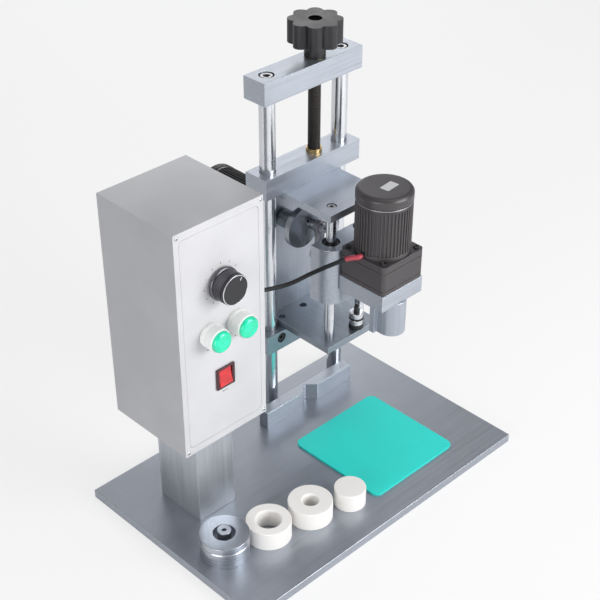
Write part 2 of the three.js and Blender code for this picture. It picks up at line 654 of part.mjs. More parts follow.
function makeControls() {
  const panelBackY = boxFrontY + panel.thickness;
  const knobZ = panelZ + speedKnob.z;

  // Heights in these profiles count from the panel's front face, towards the operator.
  const shaftEnd = -panel.thickness - 6;
  const potFront = -panel.thickness;
  const pot = turned([
    [0, potFront - speedPot.depth],
    [speedPot.radius, potFront - speedPot.depth],
    [speedPot.radius, potFront],
    [speedPot.bushRadius, potFront],
    [speedPot.bushRadius, 1.5],
    [speedKnob.shaftRadius + RUN, 1.5],
    [speedKnob.shaftRadius + RUN, shaftEnd - 1],
    [0, shaftEnd - 1],
  ], SMALL);
  place('speed_pot', facingFront(pot), 'steel', box.x, boxFrontY, knobZ);

  const knobTop = speedKnob.standOff + speedKnob.height;
  const knob = turned([
    [0, shaftEnd],
    [speedKnob.shaftRadius, shaftEnd],
    [speedKnob.shaftRadius, speedKnob.standOff],
    [speedKnob.radius, speedKnob.standOff],
    [speedKnob.radius, speedKnob.standOff + 4],
    [speedKnob.radius - 1, speedKnob.standOff + 5],
    [speedKnob.faceRadius, knobTop - 1.5],
    [speedKnob.faceRadius - 1.5, knobTop],
    [0, knobTop],
  ]);
  place('speed_knob', facingFront(knob), 'blackPlastic', box.x, boxFrontY, knobZ);

  const lensBore = button.radius + RUN;
  const seat = buttonHousing.reach - 12;
  const stemBore = button.stemRadius + RUN;
  const stemEnd = seat - 14;
  const housing = turned([
    [0, -panel.thickness - buttonHousing.barrelLength],
    [buttonHousing.barrelRadius, -panel.thickness - buttonHousing.barrelLength],
    [buttonHousing.barrelRadius, GAP],
    [buttonHousing.radius, GAP],
    [buttonHousing.radius, buttonHousing.reach - 1.5],
    [buttonHousing.radius - 1.5, buttonHousing.reach],
    [lensBore, buttonHousing.reach],
    [lensBore, seat],
    [stemBore, seat],
    [stemBore, stemEnd],
    [0, stemEnd],
  ]);
  const contact = block(buttonHousing.blockSize, buttonHousing.blockSize, buttonHousing.blockDepth)
    .translate(0, 0, -panel.thickness - 6 - buttonHousing.blockDepth);
  const lens = turned([
    [0, stemEnd + button.travel + 1],
    [button.stemRadius, stemEnd + button.travel + 1],
    [button.stemRadius, seat + button.travel + 1],
    [button.radius, seat + button.travel + 1],
    [button.radius, buttonHousing.reach + button.reach - 3],
    [button.radius - 1.5, buttonHousing.reach + button.reach - 1],
    [button.radius - 5, buttonHousing.reach + button.reach],
    [0, buttonHousing.reach + button.reach],
  ]);
  SIDES.forEach((side, i) => {
    const x = box.x + (2 * i - 1) * button.halfSpacing;
    place(`button_housing_${side}`, facingFront(join(housing, contact)), 'whitePlastic', x, boxFrontY,
      panelZ + button.z);
    place(`button_${side}`, facingFront(lens.clone()), 'greenLens', x, boxFrontY, panelZ + button.z);
  });

  // The rocker turns about a line along X through the middle of its frame.
  const bodyWidth = rocker.width - 2 * rocker.rim - 2 * GAP;
  const bodyHeight = rocker.height - 2 * rocker.rim - 2 * GAP;
  const pocketWidth = bodyWidth - 3;
  const pocketHeight = bodyHeight - 0.6;
  const frame = cut(
    join(
      raised(roundedRectangle(rocker.width, rocker.height, 2), rocker.flange, 3).translate(0, 0, GAP),
      block(bodyWidth, bodyHeight, rocker.depth + 1).translate(0, 0, 0.5 - rocker.depth),
    ),
    block(pocketWidth, pocketHeight, rocker.depth + 10).translate(0, 0, 3 - rocker.depth),
  );
  const rockerZ = panelZ + rocker.z;
  place('rocker_frame', facingFront(frame), 'blackPlastic', box.x, boxFrontY, rockerZ);

  const section = new THREE.Shape();
  const tilt = THREE.MathUtils.degToRad(rocker.restTilt);
  const reach = rocker.radius;
  section.moveTo(-reach * Math.cos(tilt), reach * Math.sin(tilt));
  section.absarc(0, 0, reach, Math.PI - tilt, Math.PI * 2 + tilt, false);
  section.lineTo(0, 1);
  const standing = new THREE.Matrix4().makeBasis(
    new THREE.Vector3(0, 0, 1),
    new THREE.Vector3(0, -1, 0),
    new THREE.Vector3(1, 0, 0),
  );
  const paddle = raised(section, pocketWidth - 1, 10)
    .translate(0, 0, -(pocketWidth - 1) / 2)
    .applyMatrix4(standing)
    .rotateX(-tilt);
  place('rocker_button', paddle, 'redLens', box.x, boxFrontY, rockerZ);
}

// ------------------------------------------------------------------ what lies on the base

function makeBaseFittings() {
  const vee = new THREE.Shape();
  vee.moveTo(-notch.half, -1);
  vee.lineTo(notch.half, -1);
  vee.lineTo(notch.root, notch.depth);
  vee.lineTo(-notch.root, notch.depth);
  const locatorShape = cut(
    block(locator.width, locator.depth, locator.height),
    raised(vee, locator.height + 2).translate(notch.x - locator.x, -locator.depth / 2, -1),
  );
  place('v_locator', locatorShape, 'satinAluminium', locator.x, locator.frontY + locator.depth / 2, floorZ);

  const matShape = raised(roundedRectangle(mat.size, mat.size, mat.corner), mat.thickness, 6);
  place('bottle_mat', matShape, 'matRubber', mat.x, mat.y, floorZ);

  place('insert_large_bore', ring(insert.radius, insert.largeBore, insert.height), 'whitePlastic',
    -161.5, -80, floorZ);
  place('insert_small_bore', ring(insert.radius, insert.smallBore, insert.height), 'whitePlastic',
    -86.2, -93.4, floorZ);
  place('insert_solid', rod(insert.solidRadius, insert.height), 'whitePlastic', -20.3, -114.8, floorZ);

  const chuckShape = turned([
    [0, 0],
    [chuck.radius, 0],
    [chuck.radius, chuck.height],
    [chuck.recessRadius, chuck.height],
    [chuck.recessRadius, chuck.height - chuck.recessDepth],
    [chuck.stubRadius, chuck.height - chuck.recessDepth],
    [chuck.stubRadius, chuck.stubHeight],
    [chuck.hole, chuck.stubHeight],
    [chuck.hole, chuck.stubHeight - 12],
    [0, chuck.stubHeight - 12],
  ]);
  place('capping_chuck', chuckShape, 'darkAluminium', -234, -61.5, floorZ);
}

// ------------------------------------------------------------------ motor cable

// The cable runs from the capping motor to the gland in the side of the control box.
function makeCable() {
  const motorSideX = slide.centreX - motor.radius;
  const noseX = boxRightX + gland.reach;
  const exitZ = motorZ + motor.gearHeight + cable.exit;
  const route = new THREE.CatmullRomCurve3([
    new THREE.Vector3(motorSideX - 2 * GAP, motor.y, exitZ),
    new THREE.Vector3(motorSideX - 8, motor.y, exitZ),
    new THREE.Vector3(motorSideX - 18, motor.y + 11, exitZ - 3),
    new THREE.Vector3(58, 14, 358),
    new THREE.Vector3(45, 42, 336),
    new THREE.Vector3(cableSplit.x, cableSplit.y, cableSplit.z),
    new THREE.Vector3(-12, 78, 317),
    new THREE.Vector3(-50, motorGland.y - 2, motorGland.z - 2),
    new THREE.Vector3(noseX + 10, motorGland.y, motorGland.z),
    new THREE.Vector3(noseX + GAP, motorGland.y, motorGland.z),
  ]);
  const total = route.getLength();
  const splitPoint = new THREE.Vector3(cableSplit.x, cableSplit.y, cableSplit.z);
  const splitAt = nearest(route, splitPoint);
  const half = GAP / total;
  placeCable('motor_cable_upper', route, 0, splitAt - half);
  placeCable('motor_cable_lower', route, splitAt + half, 1);
}

function nearest(route, point) {
  let best = 0;
  for (let i = 0; i <= 400; i += 1) {
    const here = route.getPointAt(i / 400).distanceTo(point);
    if (here < route.getPointAt(best).distanceTo(point)) best = i / 400;
  }
  return best;
}

// A stretch of a longer route, from one share of its length to another.
class Stretch extends THREE.Curve {
  constructor(route, from, to) {
    super();
    this.route = route;
    this.from = from;
    this.to = to;
  }

  getPoint(t, target = new THREE.Vector3()) {
    return target.copy(this.route.getPointAt(this.from + (this.to - this.from) * t));
  }
}

function placeCable(name, route, from, to) {
  const length = route.getLength() * (to - from);
  const steps = Math.round(length / (2.2 * 2 * cable.radius));
  const outline = new THREE.Shape();
  for (let i = 0; i < cable.sides; i += 1) {
    const angle = (i / cable.sides) * Math.PI * 2;
    const x = cable.radius * Math.cos(angle);
    const y = cable.radius * Math.sin(angle);
    if (i === 0) outline.moveTo(x, y);
    else outline.lineTo(x, y);
  }
  const tube = new THREE.ExtrudeGeometry(outline, {
    steps,
    bevelEnabled: false,
    extrudePath: new Stretch(route, from, to),
  });
  place(name, tube, 'rubber', 0, 0, 0);
}

makeFrame();
makeLeadscrew();
makeHead();
makeSlide();
makeSpindle();
makeCrank();
makeControlBox();
makeControls();
makeBaseFittings();
makeCable();

export default group;
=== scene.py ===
"""Bench-top screw-capping machine: the finished look of every piece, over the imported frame."""

import math

import bmesh
import bpy
from mathutils import Matrix, Vector


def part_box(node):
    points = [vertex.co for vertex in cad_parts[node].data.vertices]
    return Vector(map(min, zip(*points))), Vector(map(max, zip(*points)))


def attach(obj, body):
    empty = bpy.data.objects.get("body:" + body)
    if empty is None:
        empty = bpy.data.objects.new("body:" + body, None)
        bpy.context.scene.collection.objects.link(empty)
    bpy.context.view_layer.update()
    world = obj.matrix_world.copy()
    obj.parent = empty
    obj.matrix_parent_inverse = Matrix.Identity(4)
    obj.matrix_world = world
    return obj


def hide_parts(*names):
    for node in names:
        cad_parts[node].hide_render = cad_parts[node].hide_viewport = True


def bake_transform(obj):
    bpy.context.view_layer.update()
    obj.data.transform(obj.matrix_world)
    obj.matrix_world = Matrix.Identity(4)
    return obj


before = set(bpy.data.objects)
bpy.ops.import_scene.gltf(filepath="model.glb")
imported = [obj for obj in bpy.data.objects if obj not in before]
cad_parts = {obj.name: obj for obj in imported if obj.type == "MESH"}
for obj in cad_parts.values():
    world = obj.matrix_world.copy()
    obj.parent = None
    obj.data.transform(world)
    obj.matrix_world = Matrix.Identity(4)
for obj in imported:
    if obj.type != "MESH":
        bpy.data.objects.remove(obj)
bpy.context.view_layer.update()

MM = 0.001


# ---------------------------------------------------------------- camera


def make_camera():
    data = bpy.data.cameras.new("camera")
    data.sensor_width = 36
    data.lens = 78.44
    data.shift_x = 0.012
    data.shift_y = 0.097
    data.clip_start = 0.05
    camera = bpy.data.objects.new("camera", data)
    azimuth, elevation = math.radians(-44.22), math.radians(36.20)
    back = Vector((
        math.sin(azimuth) * math.cos(elevation),
        -math.cos(azimuth) * math.cos(elevation),
        math.sin(elevation),
    ))
    camera.matrix_world = (
        Matrix.Translation((-1.1436, -1.1415, 1.4052))
        @ back.to_track_quat("Z", "Y").to_matrix().to_4x4()
    )
    bpy.context.scene.collection.objects.link(camera)
    bpy.context.scene.camera = camera


make_camera()


# ---------------------------------------------------------------- finishes


class Signal:
    """A shader value. Sums and products of signals add their own Math nodes."""

    def __init__(self, finish, socket):
        self.finish = finish
        self.socket = socket

    def _math(self, operation, first, second):
        return self.finish.node("ShaderNodeMath", {"operation": operation}, {0: first, 1: second})

    def __add__(self, other):
        return self._math("ADD", self, other)

    def __sub__(self, other):
        return self._math("SUBTRACT", self, other)

    def __mul__(self, other):
        return self._math("MULTIPLY", self, other)

    def __rsub__(self, other):
        return self._math("SUBTRACT", other, self)

    def __pow__(self, other):
        return self._math("POWER", self, other)

    __radd__ = __add__
    __rmul__ = __mul__


class Finish:
    """A procedural material. Constants go straight on the shader's sockets."""

    def __init__(self, name, **constants):
        self.material = bpy.data.materials.new(name)
        self.material.use_nodes = True
        self.tree = self.material.node_tree
        self.shader = self.tree.nodes["Principled BSDF"]
        for socket, value in constants.items():
            self.shader.inputs[socket.replace("_", " ")].default_value = value

    def node(self, kind, settings=None, inputs=None, output=0):
        made = self.tree.nodes.new(kind)
        for name, value in (settings or {}).items():
            if name == "stops":
                self._stops(made.color_ramp, value)
            else:
                setattr(made, name, value)
        for socket, value in (inputs or {}).items():
            self._join(made.inputs[socket], value)
        return Signal(self, made.outputs[output])

    def _stops(self, ramp, stops):
        while len(ramp.elements) < len(stops):
            ramp.elements.new(0.5)
        for element, (place, colour) in zip(ramp.elements, stops):
            element.position = place
            element.color = (*colour, 1)

    def _join(self, socket, value):
        if isinstance(value, Signal):
            self.tree.links.new(value.socket, socket)
        else:
            socket.default_value = value

    def feed(self, **sockets):
        for name, value in sockets.items():
            self._join(self.shader.inputs[name.replace("_", " ")], value)
        return self

    def place(self, stretch=(1, 1, 1)):
        here = self.node("ShaderNodeTexCoord", output="Object")
        return self.node("ShaderNodeMapping", {}, {"Vector": here, "Scale": stretch})

    def noise(self, scale, stretch=(1, 1, 1), detail=4.0, roughness=0.55):
        return self.node("ShaderNodeTexNoise", {}, {
            "Vector": self.place(stretch), "Scale": scale, "Detail": detail, "Roughness": roughness,
        })

    def band(self, value, low, high, to_low=0.0, to_high=1.0):
        return self.node("ShaderNodeMapRange", {"interpolation_type": "SMOOTHSTEP"}, {
            "Value": value, "From Min": low, "From Max": high, "To Min": to_low, "To Max": to_high,
        })

    def mixed(self, factor, first, second):
        made = self.tree.nodes.new("ShaderNodeMix")
        made.data_type = "RGBA"
        self._join(made.inputs[0], factor)
        for socket, value in ((6, first), (7, second)):
            self._join(made.inputs[socket], value if isinstance(value, Signal) else (*value, 1))
        return Signal(self, made.outputs[2])

    def relief(self, height, strength, distance):
        return self.node("ShaderNodeBump", {}, {
            "Height": height, "Strength": strength, "Distance": distance,
        })

    def worn(self):
        return self.node("ShaderNodeAttribute", {"attribute_name": "edge"}, output="Fac")


def shade(colour, factor):
    return tuple(min(1, c * factor) for c in colour)


def milled(name, colour, roughness, grain, metallic=0.85, depth=0.2, contrast=1.0):
    """Machined or drawn metal: fine lines along the piece, soft blotches and brighter edges."""
    finish = Finish(name)
    lines = finish.noise(1.0, grain, 3, 0.6)
    blotch = finish.noise(14, detail=3)
    scuff = finish.noise(2.2, tuple(g * 0.35 for g in grain), 2)
    edge = finish.worn()
    tone = finish.mixed(
        finish.band(lines, 0.3, 0.7), shade(colour, 1 - 0.1 * contrast),
        shade(colour, 1 + 0.08 * contrast),
    )
    tone = finish.mixed(finish.band(blotch, 0.42, 0.7) * 0.35, tone, shade(colour, 0.86))
    tone = finish.mixed(edge * 0.5, tone, shade(colour, 1.35))
    rough = finish.band(lines, 0.25, 0.75, roughness - 0.07, roughness + 0.08)
    rough = rough + finish.band(scuff, 0.4, 0.75) * 0.06 - edge * 0.08
    finish.feed(
        Base_Color=tone,
        Roughness=rough,
        Metallic=metallic,
        Normal=finish.relief(lines, depth, 0.0002),
    )
    return finish.material


def lathe_turned(name, colour, roughness, axis="Z", metallic=1.0, rings=900):
    """Turned or ground metal: very fine rings round the piece's axis."""
    finish = Finish(name)
    stretch = {"Z": (6, 6, rings), "Y": (6, rings, 6), "X": (rings, 6, 6)}[axis]
    lines = finish.noise(1.0, stretch, 2, 0.5)
    smear = finish.noise(22, detail=3)
    edge = finish.worn()
    tone = finish.mixed(finish.band(smear, 0.35, 0.75) * 0.4, colour, shade(colour, 0.82))
    tone = finish.mixed(edge * 0.35, tone, shade(colour, 1.25))
    rough = finish.band(lines, 0.3, 0.7, roughness * 0.75, roughness * 1.3)
    rough = rough + finish.band(smear, 0.45, 0.8) * 0.05
    finish.feed(
        Base_Color=tone,
        Roughness=rough,
        Metallic=metallic,
        Normal=finish.relief(lines, 0.12, 0.0001),
    )
    return finish.material


def painted(name, colour, roughness, texture=260, depth=0.25, metallic=0.0, wear=(0.6, 0.6, 0.62)):
    """Sprayed paint: a fine orange-peel texture, slight mottling and worn edges."""
    finish = Finish(name)
    peel = finish.noise(texture, detail=2)
    mottle = finish.noise(9, detail=4)
    chips = finish.noise(140, detail=3, roughness=0.7)
    edge = finish.worn() * finish.band(chips, 0.48, 0.62)
    tone = finish.mixed(finish.band(mottle, 0.3, 0.75), shade(colour, 0.94), shade(colour, 1.05))
    tone = finish.mixed(edge * 0.55, tone, wear)
    rough = finish.band(mottle, 0.3, 0.7, roughness - 0.05, roughness + 0.06)
    finish.feed(
        Base_Color=tone,
        Roughness=rough,
        Metallic=metallic,
        Normal=finish.relief(peel, depth, 0.0003),
    )
    return finish.material


def moulded(name, colour, roughness, speckle=420, depth=0.2, tint=1.5):
    """Moulded plastic or rubber: a fine spark-eroded texture with dusty high spots."""
    finish = Finish(name)
    grain = finish.noise(speckle, detail=2)
    dust = finish.noise(18, detail=5, roughness=0.65)
    edge = finish.worn()
    tone = finish.mixed(finish.band(dust, 0.45, 0.8) * 0.4, colour, shade(colour, tint))
    tone = finish.mixed(edge * 0.4, tone, shade(colour, tint))
    rough = finish.band(dust, 0.35, 0.75, roughness - 0.04, roughness + 0.08)
    finish.feed(Base_Color=tone, Roughness=rough, Normal=finish.relief(grain, depth, 0.0002))
    return finish.material


def lens_with_painted_glow(name, colour, glow):
    """A coloured lens: glossy, with lighter moulded rings seen through it, and a faint painted glow in
    its own colour.
    """
    finish = Finish(name, Coat_Roughness=0.06, IOR=1.49)
    ripple = finish.noise(90, detail=2)
    dust = finish.noise(30, detail=4)
    tone = finish.mixed(finish.band(ripple, 0.35, 0.7), shade(colour, 0.86), shade(colour, 1.15))
    finish.feed(
        Base_Color=tone,
        Roughness=finish.band(dust, 0.4, 0.8, 0.2, 0.34),
        Coat_Weight=0.5,
        # Faint emission in the lens's own colour: a painted glow.
        Emission_Color=(*colour, 1),
        Emission_Strength=glow,
        Normal=finish.relief(ripple, 0.12, 0.0003),
    )
    return finish.material


PLATE = milled("base_aluminium", (0.42, 0.45, 0.50), 0.4, (5, 420, 420), depth=0.12, contrast=0.5)
BEAM = milled("milled_aluminium", (0.50, 0.54, 0.60), 0.36, (7, 380, 380))
# A darker copy of the same milled aluminium for the head's lower crossbar and lower shelf: painted shade
# under the head's upper parts.
BEAM_PAINTED_SHADE = milled("milled_aluminium_painted_shade", (0.34, 0.38, 0.43), 0.4, (380, 7, 380))
UPRIGHT = milled("milled_aluminium_upright", (0.46, 0.50, 0.56), 0.38, (380, 380, 7))
POST = milled("extruded_post", (0.55, 0.58, 0.62), 0.4, (420, 420, 5))
CHROME = lathe_turned("hard_chrome", (0.80, 0.82, 0.85), 0.2)
TURNED = lathe_turned("turned_aluminium", (0.58, 0.61, 0.66), 0.3)
TURNED_Y = lathe_turned("turned_aluminium_disc", (0.46, 0.49, 0.53), 0.34, "Y")
STEEL = lathe_turned("turned_steel", (0.52, 0.52, 0.54), 0.3)
STEEL_FLAT = milled("ground_steel", (0.42, 0.42, 0.44), 0.36, (30, 300, 30))
BLACK_STEEL = painted("black_oxide", (0.035, 0.035, 0.038), 0.42, 300, 0.15, 0.5, (0.3, 0.3, 0.31))
SCREW_STEEL = painted("greased_screw", (0.05, 0.045, 0.042), 0.34, 300, 0.15, 0.6, (0.4, 0.39, 0.37))
DARK_CHROME = lathe_turned("smoked_chrome", (0.16, 0.155, 0.175), 0.24, "Y")
BRASS = lathe_turned("turned_brass", (0.66, 0.47, 0.22), 0.28)
BOX_PAINT = painted("grey_box_paint", (0.50, 0.505, 0.52), 0.38, 240, 0.2, 0.75)
PANEL_PAINT = painted("silver_panel_paint", (0.60, 0.60, 0.615), 0.5, 420, 0.25, 0.1)
MOTOR_PAINT = painted("bronze_grey_paint", (0.085, 0.078, 0.082), 0.4, 300, 0.2, 0.45)
REAR_PAINT = painted("black_motor_paint", (0.022, 0.022, 0.026), 0.4, 300, 0.2, 0.3)
BLACK = moulded("black_plastic", (0.014, 0.014, 0.016), 0.4, tint=2.6)
GLOSS_BLACK = moulded("dark_frame_plastic", (0.045, 0.010, 0.013), 0.25, 200, 0.05, 2.0)
PALE_LABEL = moulded("blank_label", (0.62, 0.63, 0.64), 0.45, 200, 0.05, 1.1)
WHITE = moulded("white_bezel_plastic", (0.80, 0.82, 0.80), 0.34, 200, 0.06, 1.1)
NYLON = moulded("white_nylon", (0.90, 0.88, 0.85), 0.5, 160, 0.2, 1.04)
MAT = moulded("teal_mat_rubber", (0.02, 0.72, 0.64), 0.55, 700, 0.4, 1.12)
RUBBER = moulded("black_sheath", (0.012, 0.012, 0.014), 0.45, 300, 0.1, 2.2)
SLEEVE = moulded("red_sleeve", (0.42, 0.05, 0.07), 0.4, 300, 0.1, 1.4)
GREEN = lens_with_painted_glow("green_lens", (0.008, 0.66, 0.38), 0.13)
RED = lens_with_painted_glow("red_lens", (0.56, 0.012, 0.016), 0.04)
CASE = moulded("circuit_case", (0.04, 0.06, 0.05), 0.5)
# Black for the printed marks, and also painted shade: the dark floors of screw sockets, the cross
# recesses of pan heads and the plug in the crank disc's hole.
INK_AND_SHADE = moulded("black_print_and_painted_shade", (0.02, 0.02, 0.022), 0.5, 200, 0.02, 1.6)


# ---------------------------------------------------------------- mesh helpers


def span(node):
    """Lowest and highest corner of a frame node, in millimetres."""
    low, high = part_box(node)
    return low / MM, high / MM


def middle(node):
    low, high = span(node)
    return (low + high) / 2


def eased_outline(points, radius, steps=3, closed=False):
    """The same outline with its corners rounded, by no more than its sides allow."""
    points = [Vector(p) for p in points]
    count = len(points)
    made = []
    for i, point in enumerate(points):
        if not closed and i in (0, count - 1):
            made.append(point)
            continue
        before, after = points[i - 1] - point, points[(i + 1) % count] - point
        reach = min(radius, before.length * 0.45, after.length * 0.45)
        if reach < 0.02 or before.angle(after) > math.radians(168):
            made.append(point)
            continue
        start, end = point + before.normalized() * reach, point + after.normalized() * reach
        for k in range(steps + 1):
            t = k / steps
            made.append(start * (1 - t) ** 2 + point * (2 * t * (1 - t)) + end * t ** 2)
    return made


FACING = {
    "Z": Matrix.Identity(4),
    "-Z": Matrix.Rotation(math.pi, 4, "X"),
    "-Y": Matrix.Rotation(math.pi / 2, 4, "X"),
    "Y": Matrix.Rotation(-math.pi / 2, 4, "X"),
    "X": Matrix.Rotation(math.pi / 2, 4, "Y"),
}


class Shape:
    """Mesh under construction, in millimetres. Each face keeps the finish it was made with."""

    def __init__(self):
        self.bm = bmesh.new()
        self.edge = self.bm.faces.layers.float.new("edge")
        self.finishes = []

    def _slot(self, finish):
        if finish not in self.finishes:
            self.finishes.append(finish)
        return self.finishes.index(finish)

    def _settle(self, part, finish, at, facing, turn=0.0):
        bmesh.ops.remove_doubles(part, verts=part.verts, dist=0.001)
        bmesh.ops.recalc_face_normals(part, faces=part.faces)
        matrix = Matrix.Translation(at) @ FACING[facing] @ Matrix.Rotation(turn, 4, "Z")
        bmesh.ops.transform(part, matrix=matrix, verts=part.verts)
        slot = self._slot(finish)
        for face in part.faces:
            face.material_index = slot
        mesh = bpy.data.meshes.new("part")
        part.to_mesh(mesh)
        part.free()
        self.bm.from_mesh(mesh)
        bpy.data.meshes.remove(mesh)
        return self

    def turned(self, points, finish, at=(0, 0, 0), facing="Z", round_off=0.6, sides=96):
        """A turned piece. Points are (radius, height), starting low, out and up."""
        part = bmesh.new()
        part.faces.layers.float.new("edge")
        looped = tuple(points[0]) == tuple(points[-1])
        outline = eased_outline(points[:-1] if looped else points, round_off, closed=looped)
        rows = []
        for radius, height in outline:
            if radius < 1e-6:
                rows.append([part.verts.new((0, 0, height))])
                continue
            rows.append([
                part.verts.new((
                    radius * math.cos(math.tau * i / sides),
                    radius * math.sin(math.tau * i / sides),
                    height,
                ))
                for i in range(sides)
            ])
        if looped:
            rows.append(rows[0])
        for low, high in zip(rows, rows[1:]):
            for i in range(sides):
                j = (i + 1) % sides
                corners = [low[i % len(low)], low[j % len(low)], high[j % len(high)], high[i % len(high)]]
                corners = list(dict.fromkeys(corners))
                if len(corners) > 2:
                    part.faces.new(corners)
        return self._settle(part, finish, at, facing)

    def plate(self, outline, low, high, finish, at=(0, 0, 0), facing="Z", holes=(), ease=0.5, turn=0.0):
        """A flat piece cut to an outline, with holes, from low to high and with eased rims."""
        part = bmesh.new()
        layer = part.faces.layers.float.new("edge")
        edges = []
        for loop in (outline, *holes):
            corners = [part.verts.new((x, y, low)) for x, y in loop]
            for a, b in zip(corners, corners[1:] + corners[:1]):
                edges.append(part.edges.new((a, b)))
        bmesh.ops.triangle_fill(part, edges=edges, use_beauty=True)
        raised = bmesh.ops.extrude_face_region(part, geom=part.faces[:])
        top = [g for g in raised["geom"] if isinstance(g, bmesh.types.BMVert)]
        bmesh.ops.translate(part, verts=top, vec=(0, 0, high - low))
        bmesh.ops.recalc_face_normals(part, faces=part.faces)
        if ease:
            self._ease(part, layer, ease, 35)
        return self._settle(part, finish, at, facing, turn)

    def _ease(self, part, layer, width, angle, segments=2):
        sharp = [
            e for e in part.edges
            if len(e.link_faces) == 2 and e.calc_face_angle(0) > math.radians(angle)
        ]
        made = bmesh.ops.bevel(
            part, geom=sharp, offset=width, segments=segments, profile=0.5,
            affect="EDGES", clamp_overlap=True,
        )
        for face in made["faces"]:
            face[layer] = 1.0

    def copied(self, node, finish, ease=0.6, angle=35):
        """A frame node's own shape, with its flat faces made whole and its corners eased."""
        part = bmesh.new()
        part.from_mesh(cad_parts[node].data)
        layer = part.faces.layers.float.new("edge")
        bmesh.ops.scale(part, vec=(1 / MM,) * 3, verts=part.verts)
        bmesh.ops.remove_doubles(part, verts=part.verts, dist=0.005)
        bmesh.ops.dissolve_limit(
            part, angle_limit=math.radians(0.8), verts=part.verts, edges=part.edges,
        )
        if ease:
            self._ease(part, layer, ease, angle)
        return self._settle(part, finish, (0, 0, 0), "Z")

    def mesh(self, name, smooth=34):
        bmesh.ops.scale(self.bm, vec=(MM,) * 3, verts=self.bm.verts)
        mesh = bpy.data.meshes.new(name)
        self.bm.to_mesh(mesh)
        self.bm.free()
        mesh.validate()
        for finish in self.finishes:
            mesh.materials.append(finish)
        for polygon in mesh.polygons:
            polygon.use_smooth = True
        mesh.set_sharp_from_angle(angle=math.radians(smooth))
        return mesh

    def piece(self, name, body, *nodes, smooth=34):
        return settled(name, self.mesh(name, smooth), body, *nodes)


def solid_profile(radius, low, high):
    """The half section of a plain cylinder."""
    return [(0, low), (radius, low), (radius, high), (0, high)]


def hollow_profile(bore, radius, low, high):
    """The half section of a plain sleeve, closed on itself."""
    return [(bore, low), (radius, low), (radius, high), (bore, high), (bore, low)]


def settled(name, mesh, body, *nodes):
    piece = bpy.data.objects.new(name, mesh)
    bpy.context.scene.collection.objects.link(piece)
    weighted = piece.modifiers.new("even_shading", "WEIGHTED_NORMAL")
    weighted.keep_sharp = True
    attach(piece, body)
    if nodes:
        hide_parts(*nodes)
    return piece


def ring(radius, at=(0, 0), sides=72, start=0.0):
    return [
        (at[0] + radius * math.cos(start + math.tau * i / sides),
         at[1] + radius * math.sin(start + math.tau * i / sides))
        for i in range(sides)
    ]


def rounded_box(width, height, radius, steps=8):
    x, y = width / 2 - radius, height / 2 - radius
    outline = []
    for k, (cx, cy) in enumerate(((x, y), (-x, y), (-x, -y), (x, -y))):
        for i in range(steps + 1):
            angle = math.pi / 2 * (k + i / steps)
            outline.append((cx + radius * math.cos(angle), cy + radius * math.sin(angle)))
    return outline


# ---------------------------------------------------------------- geometry nodes


def sockets(tree, wanted):
    for name, kind, side in wanted:
        tree.interface.new_socket(name=name, in_out=side, socket_type=kind)


def repeat_tree():
    """Stands a part at every point of the modifier's own mesh; Outward turns its X from the centre."""
    tree = bpy.data.node_groups.new("repeat_at_points", "GeometryNodeTree")
    sockets(tree, (
        ("Points", "NodeSocketGeometry", "INPUT"),
        ("Part", "NodeSocketObject", "INPUT"),
        ("Outward", "NodeSocketFloat", "INPUT"),
        ("Finish", "NodeSocketMaterial", "INPUT"),
        ("Geometry", "NodeSocketGeometry", "OUTPUT"),
    ))
    add, link = tree.nodes.new, tree.links.new
    given, made = add("NodeGroupInput"), add("NodeGroupOutput")
    info, where = add("GeometryNodeObjectInfo"), add("GeometryNodeInputPosition")
    turn, copies = add("FunctionNodeAlignRotationToVector"), add("GeometryNodeInstanceOnPoints")
    real, paint = add("GeometryNodeRealizeInstances"), add("GeometryNodeSetMaterial")
    turn.axis = "X"
    link(given.outputs["Part"], info.inputs["Object"])
    link(where.outputs[0], turn.inputs["Vector"])
    link(given.outputs["Outward"], turn.inputs["Factor"])
    link(given.outputs["Points"], copies.inputs["Points"])
    link(info.outputs["Geometry"], copies.inputs["Instance"])
    link(turn.outputs[0], copies.inputs["Rotation"])
    link(copies.outputs[0], real.inputs[0])
    link(real.outputs[0], paint.inputs["Geometry"])
    link(given.outputs["Finish"], paint.inputs["Material"])
    link(paint.outputs[0], made.inputs[0])
    return tree


